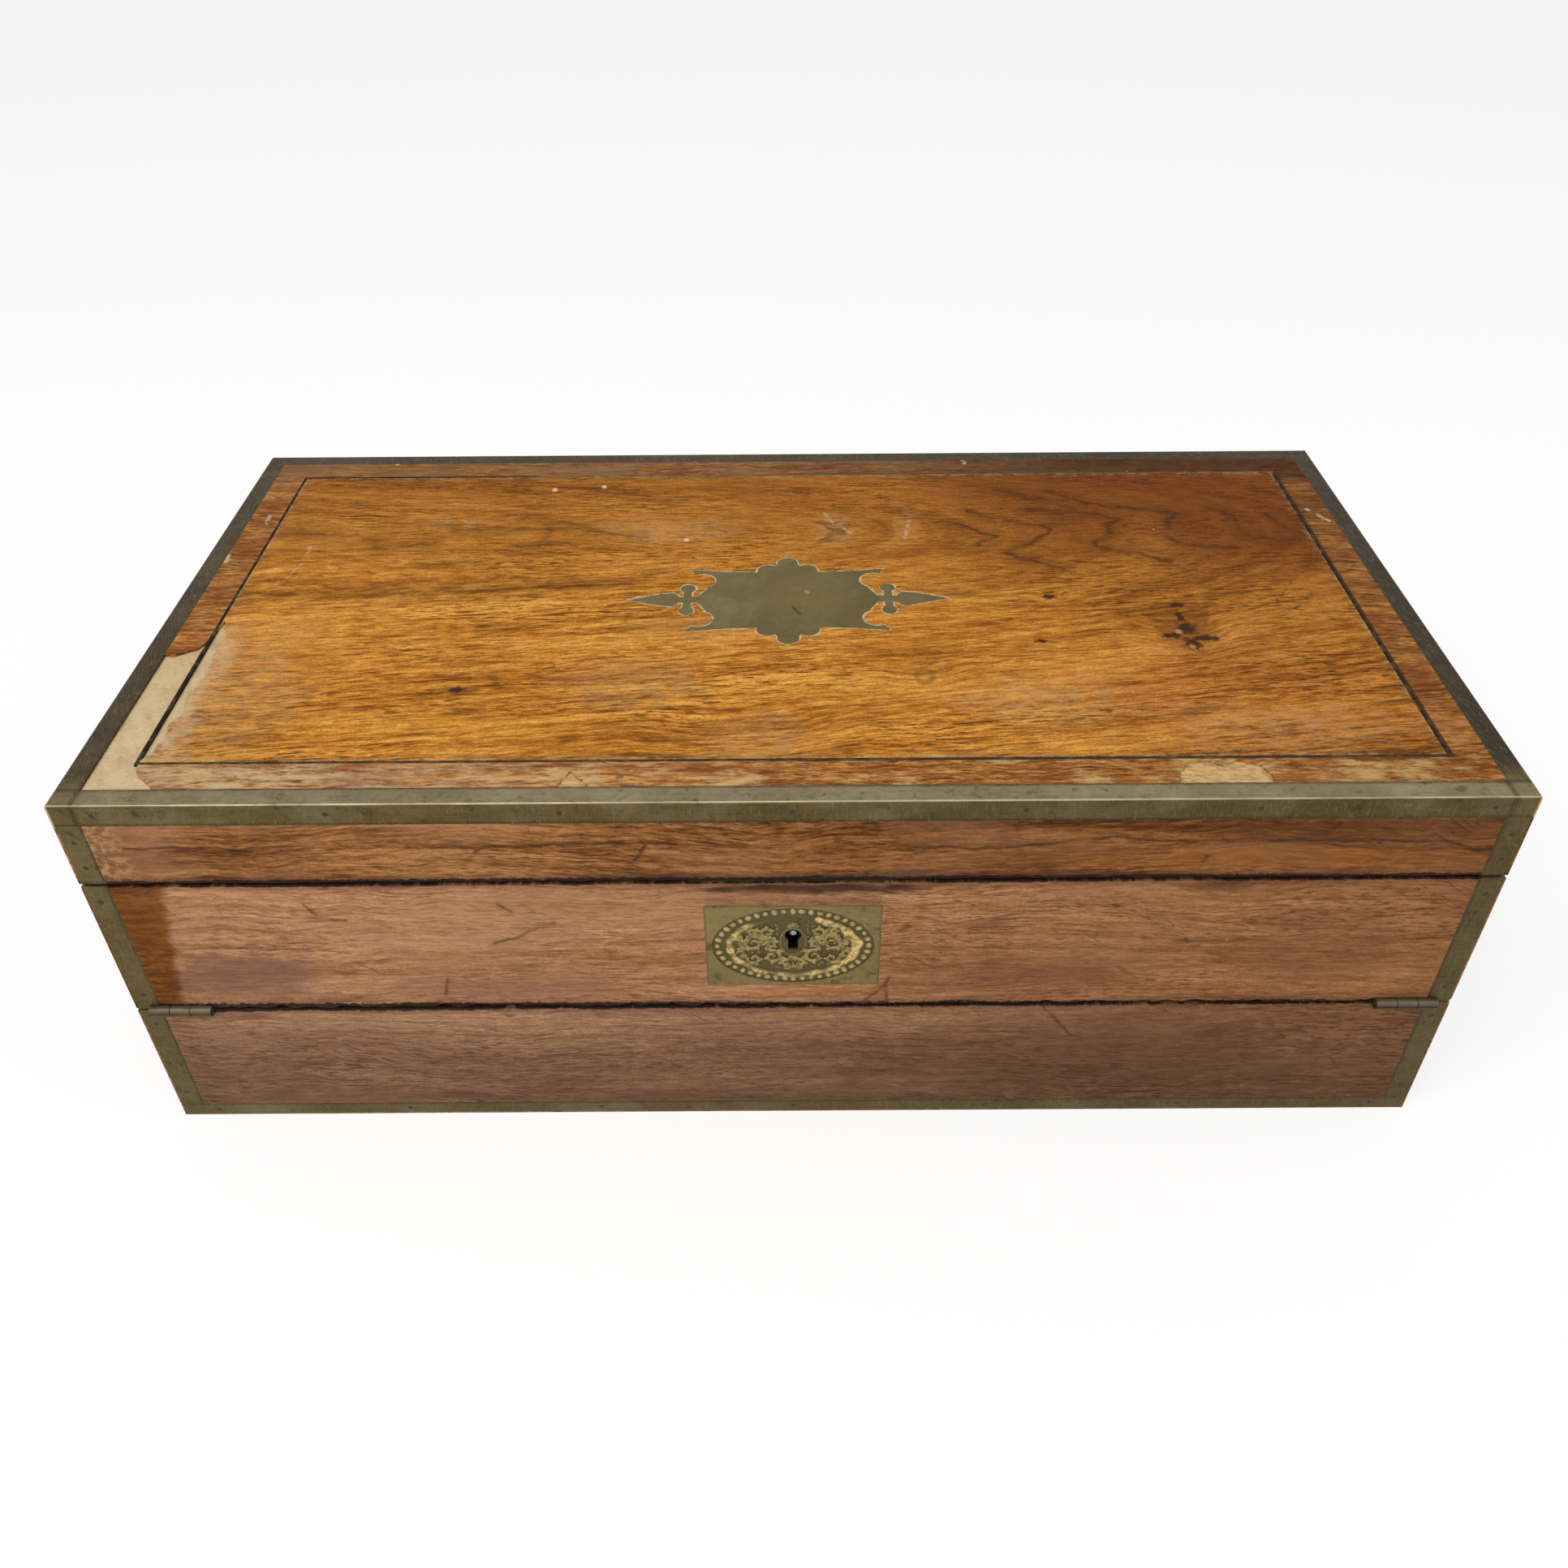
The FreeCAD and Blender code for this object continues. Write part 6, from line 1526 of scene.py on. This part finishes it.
    def scroll(
        self, centre: Point2, radius: float, turns: float, start: float, hand: int
    ) -> List[Piece]:
        """One curled stem with leaves along its outer side.

        Args:
            centre: the eye of the curl, from the plate's middle.
            radius: the outer radius.
            turns: how many times it goes round.
            start: the angle where it starts, in radians.
            hand: 1 or -1 for which way it curls.

        Returns:
            The stem and its leaves.
        """
        chance = random.Random(int(centre[0] * 31 + centre[1] * 17 + self.seed))
        floor = self.face - self.field_depth + 0.25
        count = int(9 * turns) + 4
        line, radii, leaves = [], [], []
        for i in range(count):
            share = i / (count - 1)
            reach = radius * (1 - self.stem_shrink[0] * share)
            turn = start + hand * share * turns * 2 * math.pi
            x, z = centre[0] + reach * math.cos(turn), self.middle + centre[1] + reach * math.sin(turn)
            line.append((x, -floor, z))
            radii.append(1 - self.stem_shrink[1] * share)
            if i % 2 == 0 and share < 0.75:
                size = 1.1 - share
                long, thick, wide = self.leaf
                out = self.leaf_out * size
                leaves.append(self.lump(
                    self.ball("leaf"), (long * size, thick, wide * size),
                    -turn - hand * 0.7 + chance.uniform(-0.3, 0.3),
                    (x + out * math.cos(turn), -floor - 0.05, z + out * math.sin(turn))))
        stem = Bench.wire("stem", line, radii, False, 1)
        return [self.flatten(stem, floor, self.stem_flat), *leaves]

    def petals(self, base: Point2, count: int, reach: float) -> List[Piece]:
        """A fan of petals that opens upwards from a point given from the plate's middle."""
        floor = self.face - self.field_depth + 0.2
        long, thick, wide = self.petal
        out = reach * self.petal_out
        made = []
        for i in range(count):
            turn = math.pi * (i + 0.5) / count
            made.append(self.lump(
                self.ball("petal"), (reach * long, thick, wide), -turn,
                (base[0] + out * math.cos(turn), -floor, self.middle + base[1] + out * math.sin(turn))))
        return made

    def ground_pellets(self, taken: Sequence[Point2]) -> List[Piece]:
        """Small pellets in the gaps between the scrolls.

        Args:
            taken: places that already carry something.

        Returns:
            The pellets.
        """
        chance = random.Random(self.seed + 2)
        first = self.ball("pellet")
        places, made = list(taken), []
        for _ in range(self.pellets * 12):
            if len(made) == self.pellets:
                break
            x, z = chance.uniform(-1, 1) * self.field_half[0], chance.uniform(-1, 1) * self.field_half[1]
            inside = (x / self.field_half[0]) ** 2 + (z / self.field_half[1]) ** 2 < 1.0
            hole = abs(x) < self.free_side and self.free_span[0] < z < self.free_span[1]
            if not inside or hole or any(math.dist((x, z), p) < self.pellet_gap for p in places):
                continue
            places.append((x, z))
            size = chance.uniform(*self.pellet_size)
            made.append(self.lump(
                Bench.clone(first, "pellet"),
                (size * chance.uniform(*self.pellet_long), self.pellet_thick, size),
                chance.uniform(0, math.pi), (x, -self.face + self.field_depth - 0.15, self.middle + z)))
        Bench.drop(first)
        return made

    def scrolls(self) -> Piece:
        """Mirrored scrolls, two palmettes and a collar round the keyhole fill the oval field."""
        parts: List[Piece] = []
        for centre, radius, turns, start, hand in self.curls:
            parts += self.scroll(centre, radius, turns, start, hand)
            parts += self.scroll((-centre[0], centre[1]), radius, turns, math.pi - start, -hand)
        for palmette in self.palmettes:
            parts += self.petals(*palmette)
        taken = []
        for part in parts:
            for corner in list(part.data.vertices)[::3]:
                at = part.matrix_basis @ corner.co / MM
                taken.append((at.x, at.z - self.middle))
        collar_middle = (self.keyhole_centre + self.keyhole_foot) / 2 + self.collar_lift
        steps = self.collar_steps
        collar = Bench.wire("collar", [
            (self.collar_half[0] * math.cos(t), -self.face + 0.15,
             collar_middle + self.collar_half[1] * math.sin(t))
            for t in (2 * math.pi * i / steps for i in range(steps))],
            [self.collar_radius] * steps, True, 1)
        parts.append(self.flatten(collar, self.face - 0.15, 0.35))
        parts += self.ground_pellets(taken)
        return Bench.join("lock_plate_scrolls", parts, 80)

    def build(self) -> None:
        """Makes the plate and dresses it."""
        finished(self.sheet(), "front_flap", "brass", PLATE_BRASS, "lock_plate")
        finished(self.ribbon(), "front_flap", "brass", RIBBON_BRASS)
        finished(self.beads(), "front_flap", "brass", BEAD_BRASS)
        finished(self.scrolls(), "front_flap", "brass", RELIEF_BRASS)


@dataclass
class InlayFiller:
    """Old filler that lies in the gap round the brass shield."""

    top: float = 165.8
    ground: float = 165.0
    half: Point2 = (68.0, 36.0)
    middle: Point2 = (-1.0, -2.5)

    def build(self, sheet: Piece) -> None:
        """A thin plate less the veneer sheet and the shield leaves just the gap."""
        depth = self.top - self.ground
        piece = Bench.primitive(
            "cube", "shield_filler", size=MM, scale=(2 * self.half[0], 2 * self.half[1], depth),
            location=[c * MM for c in (*self.middle, self.top - depth / 2)])
        for cutter in (Bench.clone(sheet, "cutter"), Bench.copy_of_node("lid_cartouche", "cutter")):
            Bench.carve(piece, cutter)
        finished(piece, "lid", "pine", FILLER)


@dataclass
class WornPanel:
    """A front board whose edges along the seams are chipped and rounded by use.

    An edge is its height, 1 for a top edge or -1 for a bottom one, and how deep its chips may go. The
    wear fades with the distance from the edge, and inwards after the first of the two fade_in lengths.
    """

    node: str
    name: str
    body: str
    finish: Finish
    edges: Tuple[Tuple[float, int, float], ...]
    pitch: float = 1.7
    face: float = -130.0
    row_steps: Tuple[float, ...] = (0.6, 1.8, 2.9)
    reach_up: float = 3.0
    reach_in: float = 5.0
    fade_up: float = 1.7
    fade_in: Point2 = (1.5, 3.5)
    chip_size: float = 6.5
    chip_detail: int = 6
    chip_contrast: float = 2.4
    chip_level: float = 0.8
    chip_inward: float = 0.75

    def rows(self, piece: Piece) -> None:
        """Cuts rows beside each worn edge, the last of them where the wear has ended, and then columns."""
        low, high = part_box(self.node)
        count = int((high.x - low.x) / (self.pitch * MM))
        cuts = [((0, 0, (height - side * step) * MM), (0, 0, 1))
                for height, side, _ in self.edges for step in self.row_steps]
        cuts += [((low.x + (high.x - low.x) * i / count, 0, 0), (1, 0, 0)) for i in range(1, count)]
        with Bench.editing(piece):
            for place, normal in cuts:
                bpy.ops.mesh.select_all(action="SELECT")
                bpy.ops.mesh.bisect(plane_co=place, plane_no=normal)

    def wear(self, piece: Piece, height: float, side: int, reach: float) -> None:
        """Sinks the board's arris along one edge by uneven amounts.

        Args:
            piece: the board.
            height: the height of the edge.
            side: 1 for a top edge, and -1 for a bottom one.
            reach: how deep its chips may go.
        """
        group_name = f"edge_{int(height)}"
        group = piece.vertex_groups.new(name=group_name)
        for vertex in piece.data.vertices:
            away = abs(vertex.co.z / MM - height)
            inward = vertex.co.y / MM - self.face
            if away < self.reach_up and inward < self.reach_in:
                along = min(1.0, max(0.0, 1.0 - (inward - self.fade_in[0]) / self.fade_in[1]))
                group.add([vertex.index], max(0.0, 1.0 - away / self.fade_up) * along, "REPLACE")
        grain = bpy.data.textures.new(f"chips_{int(height)}", "CLOUDS")
        grain.noise_scale = self.chip_size * MM
        grain.noise_depth = self.chip_detail
        grain.contrast = self.chip_contrast
        grain.intensity = self.chip_level
        for axis, share in (("Z", -side), ("Y", self.chip_inward)):
            Bench.apply(piece, "DISPLACE", texture=grain, texture_coords="LOCAL", direction=axis,
                        vertex_group=group_name, strength=share * reach * MM, mid_level=0.0)

    def build(self) -> None:
        """Makes the worn board."""
        piece = Bench.copy_of_node(self.node, self.name)
        self.rows(piece)
        for height, side, reach in self.edges:
            self.wear(piece, height, side, reach)
        Bench.shade(piece, 25)
        finished(piece, self.body, "rosewood", self.finish, self.node)


@dataclass
class BrokenVeneer:
    """The top's veneers, with ragged edges where pieces have come away and round the shield.

    A zone is its span in x, its span in y, and how freely the edges in it may wander. A break is the
    size of its waves and how far they push, and narrower is how much shorter they are in y.
    """

    left: float = -250.0
    front: float = -131.0
    strip: float = 8.5
    string: Point2 = (227.35, 108.35)
    string_width: float = 1.3
    zones: Tuple[Tuple[float, float, float, float, float], ...] = (
        (-242, -217, -123, -15, 0.75), (130, 167, -123, -107, 1),
        (-82, -66, -123, -112, 0.8), (-68.5, 66.5, -38.5, 33.5, 0.32))
    cuts: int = 9
    breaks: Tuple[Point2, ...] = ((7.0, 4.0), (1.7, 2.4))
    narrower: float = 0.83
    shortest: float = 2.0

    def share(self, x: float, y: float) -> float:
        """How freely edges may wander at a place in millimetres, leaving out strips and string."""
        return max((s for x0, x1, y0, y1, s in self.zones if x0 < x < x1 and y0 < y < y1), default=0.0)

    def loose(self, x: float, y: float) -> float:
        """How freely the veneer's edge may wander there: none beside a strip or the string."""
        from_strip = min(x - self.left - self.strip, y - self.front - self.strip)
        from_string = min(
            abs(abs(x) - self.string[0] - self.string_width / 2) if abs(y) < self.string[1] + 2 else 99.0,
            abs(abs(y) - self.string[1] - self.string_width / 2) if abs(x) < self.string[0] + 2 else 99.0)
        return self.share(x, y) * min(1.0, max(0.0, (min(from_strip, from_string - 0.9) - 0.1) / 2.5))

    def rag(self, node: str, name: str, finish: Finish) -> Piece:
        """Breaks up the straight runs of a sheet's broken edges.

        Args:
            node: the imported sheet.
            name: the new piece's name.
            finish: its finish.

        Returns:
            The ragged sheet.
        """
        piece = Bench.copy_of_node(node, name)
        with Bench.editing(piece, "EDGE"):
            mesh = bmesh.from_edit_mesh(piece.data)
            for edge in mesh.edges:
                middle = (edge.verts[0].co + edge.verts[1].co) / (2 * MM)
                upright = [f for f in edge.link_faces if abs(f.normal.z) < 0.5]
                level = abs(edge.verts[0].co.z - edge.verts[1].co.z) < 1e-5
                wanted = level and len(upright) == 1 and self.share(middle.x, middle.y) > 0
                edge.select_set(bool(wanted and edge.calc_length() > self.shortest * MM))
            bmesh.update_edit_mesh(piece.data)
            bpy.ops.mesh.subdivide(number_cuts=self.cuts)
        group_name = "ragged"
        group = piece.vertex_groups.new(name=group_name)
        for vertex in piece.data.vertices:
            x, y = vertex.co.x / MM, vertex.co.y / MM
            if self.share(x, y) > 0:
                group.add([vertex.index], self.loose(x, y), "REPLACE")
        for scale, strength in self.breaks:
            for axis in "XY":
                grain = bpy.data.textures.new(f"break_{axis}", "CLOUDS")
                grain.noise_scale = scale * MM * (1.0 if axis == "X" else self.narrower)
                Bench.apply(piece, "DISPLACE", texture=grain, texture_coords="LOCAL", direction=axis,
                            vertex_group=group_name, strength=strength * MM, mid_level=0.5)
        return finished(piece, "lid", "rosewood", finish, node)

    def build(self) -> Piece:
        """Breaks both sheets, and returns the middle one."""
        self.rag("lid_veneer_border", "lid_border_sheet", BORDER_ALONG)
        return self.rag("lid_veneer_field", "lid_field_sheet", FIELD)


@dataclass
class CupScrews:
    """Slotted screws that hold the two flush handles; the slot is its depth and its width."""

    wall: float = 250.0
    middle: float = 27.75
    spread: Point2 = (42.5, 10.0)
    radius: float = 1.9
    ring: float = 0.15
    sink: float = 0.42
    head: float = 0.5
    rim: float = 0.7
    dome: float = 0.12
    slot: Point2 = (0.5, 0.45)
    slot_out: float = 0.35
    seed: int = 3

    def screw(self) -> Piece:
        """One domed countersunk head with its slot, facing +x at the origin."""
        head = Bench.primitive(
            "cylinder", "screw", vertices=20, radius=self.radius * MM, depth=self.head * MM,
            rotation=(0, math.pi / 2, 0))
        with Bench.editing(head):
            Bench.pick_faces(head, lambda face: face.normal.x > 0.9)
            bpy.ops.mesh.inset(thickness=self.rim * MM)
            bpy.ops.transform.translate(value=(self.dome * MM, 0, 0))
        slot = Bench.primitive(
            "cube", "slot", size=MM, location=(self.slot_out * MM, 0, 0),
            scale=(self.slot[0], 2.4 * self.radius, self.slot[1]))
        Bench.carve(head, slot)
        return head

    def build(self) -> None:
        """Sinks four screws into each handle plate, each turned its own way."""
        chance = random.Random(self.seed)
        first = self.screw()
        for side, node, name, body in ((1, "drawer_handle_cup", "drawer_handle_plate", "drawer"),
                                       (-1, "side_handle_cup", "side_handle_plate", "case")):
            plate, made = Bench.copy_of_node(node, name), []
            for y in (-self.spread[0], self.spread[0]):
                for z in (-self.spread[1], self.spread[1]):
                    place = Vector((side * self.wall, y, self.middle + z)) * MM
                    Bench.carve(plate, Bench.primitive(
                        "cylinder", "hole", vertices=24, radius=(self.radius + self.ring) * MM, depth=MM,
                        location=place, rotation=(0, math.pi / 2, 0)))
                    screw = Bench.clone(first, "screw")
                    screw.rotation_euler = (chance.uniform(0, math.pi), 0, 0 if side > 0 else math.pi)
                    screw.location = place - Vector((side * self.sink * MM, 0, 0))
                    made.append(screw)
            finished(Bench.join(name, [plate, *made]), body, "brass", BRASS, node)
        Bench.drop(first)


@dataclass
class Studio:
    """Camera, lamps, floor and the pale surroundings. A lamp is its name, place, size and power."""

    eye: Point3 = (-0.00206, -0.47445, 0.45409)
    turn: Point3 = (50.7562, 0.349, -0.1542)
    lens: float = 30.886
    sensor: float = 36.0
    nearest: float = 0.01
    aim: Point3 = (0.0, 0.0, 0.08)
    around: float = 0.5
    lamps: Tuple[Tuple[str, Point3, float, float], ...] = (
        ("key_lamp", (-0.75, -0.95, 1.55), 1.3, 17.0), ("fill_lamp", (1.3, -0.4, 1.1), 1.2, 4.0))
    floor_size: float = 24.0
    floor_seen: Colour = (0.34, 0.34, 0.34)
    floor_glow: Colour = (0.72, 0.72, 0.72)
    floor_lit: Colour = (0.75, 0.75, 0.75)

    def camera(self) -> None:
        """A camera at eye height over the front edge."""
        data = bpy.data.cameras.new("camera")
        data.lens, data.sensor_width, data.clip_start = self.lens, self.sensor, self.nearest
        holder = Bench.new("camera", data)
        holder.location = self.eye
        holder.rotation_euler = [math.radians(a) for a in self.turn]
        bpy.context.scene.camera = holder

    def lamp(self, name: str, place: Point3, size: float, power: float) -> None:
        """A square soft lamp that points at the middle of the box."""
        data = bpy.data.lights.new(name, "AREA")
        data.size = size
        data.energy = power
        holder = Bench.new(name, data)
        holder.location = place
        holder.rotation_euler = (Vector(self.aim) - Vector(place)).to_track_quat("-Z", "Y").to_euler()

    @staticmethod
    def seen(board: Board) -> Wire:
        """1 for what the camera, mirrors and glass see, and 0 for what lights the box."""
        path = board.node("ShaderNodeLightPath")
        return path.most(path.beside(3)).most(path.beside(6))

    def sky(self) -> None:
        """Plain grey light all round, which the camera, mirrors and glass see as white."""
        world = bpy.data.worlds.new("studio")
        bpy.context.scene.world = world
        board = Board(world)
        level = self.around + self.seen(board) * (1.0 - self.around)
        glow = board.node("ShaderNodeBackground", None, {0: (1.0, 1.0, 1.0), 1: level})
        board.node("ShaderNodeOutputWorld", None, {0: glow})

    def floor(self) -> None:
        """A wide pale floor that keeps the box's shadow."""
        plane = Bench.primitive("plane", "studio_floor", size=self.floor_size, location=(0, 0, 0))
        board = Board(bpy.data.materials.new("studio_floor"))
        glowing = board.node(
            "ShaderNodeBsdfPrincipled", None,
            {"Base Color": self.floor_seen, "Roughness": 1.0, "Specular IOR Level": 0.0,
             "Emission Color": self.floor_glow, "Emission Strength": 1.0})
        plain = board.node(
            "ShaderNodeBsdfPrincipled", None, {"Base Color": self.floor_lit, "Roughness": 1.0})
        both = board.node("ShaderNodeMixShader", None, {0: self.seen(board), 1: plain, 2: glowing})
        board.node("ShaderNodeOutputMaterial", None, {0: both})
        plane.data.materials.append(board.owner)

    def build(self) -> None:
        """Sets up everything round the box."""
        bpy.context.scene.view_settings.view_transform = "Standard"
        self.camera()
        self.sky()
        self.floor()
        for lamp in self.lamps:
            self.lamp(*lamp)


def main() -> None:
    """Builds every sub-assembly in order."""
    logging.basicConfig(level=logging.INFO, format="%(message)s")
    Studio().build()
    CarriedParts(CARRIED).dress()
    LockPlate().build()
    InlayFiller().build(BrokenVeneer().build())
    WornPanel("lid_front_wall", "lid_front_board", "lid", LID_FRONT, ((LID_FOOT, -1, 0.35),)).build()
    WornPanel("flap_panel", "flap_board", "front_flap", FLAP_FRONT,
              ((FLAP_TOP, 1, 0.5), (FLAP_FOOT, -1, 1.1))).build()
    WornPanel("case_front_wall", "base_front_board", "case", BASE_FRONT, ((BASE_TOP, 1, 0.9),)).build()
    CupScrews().build()


if __name__ == "__main__":
    main()
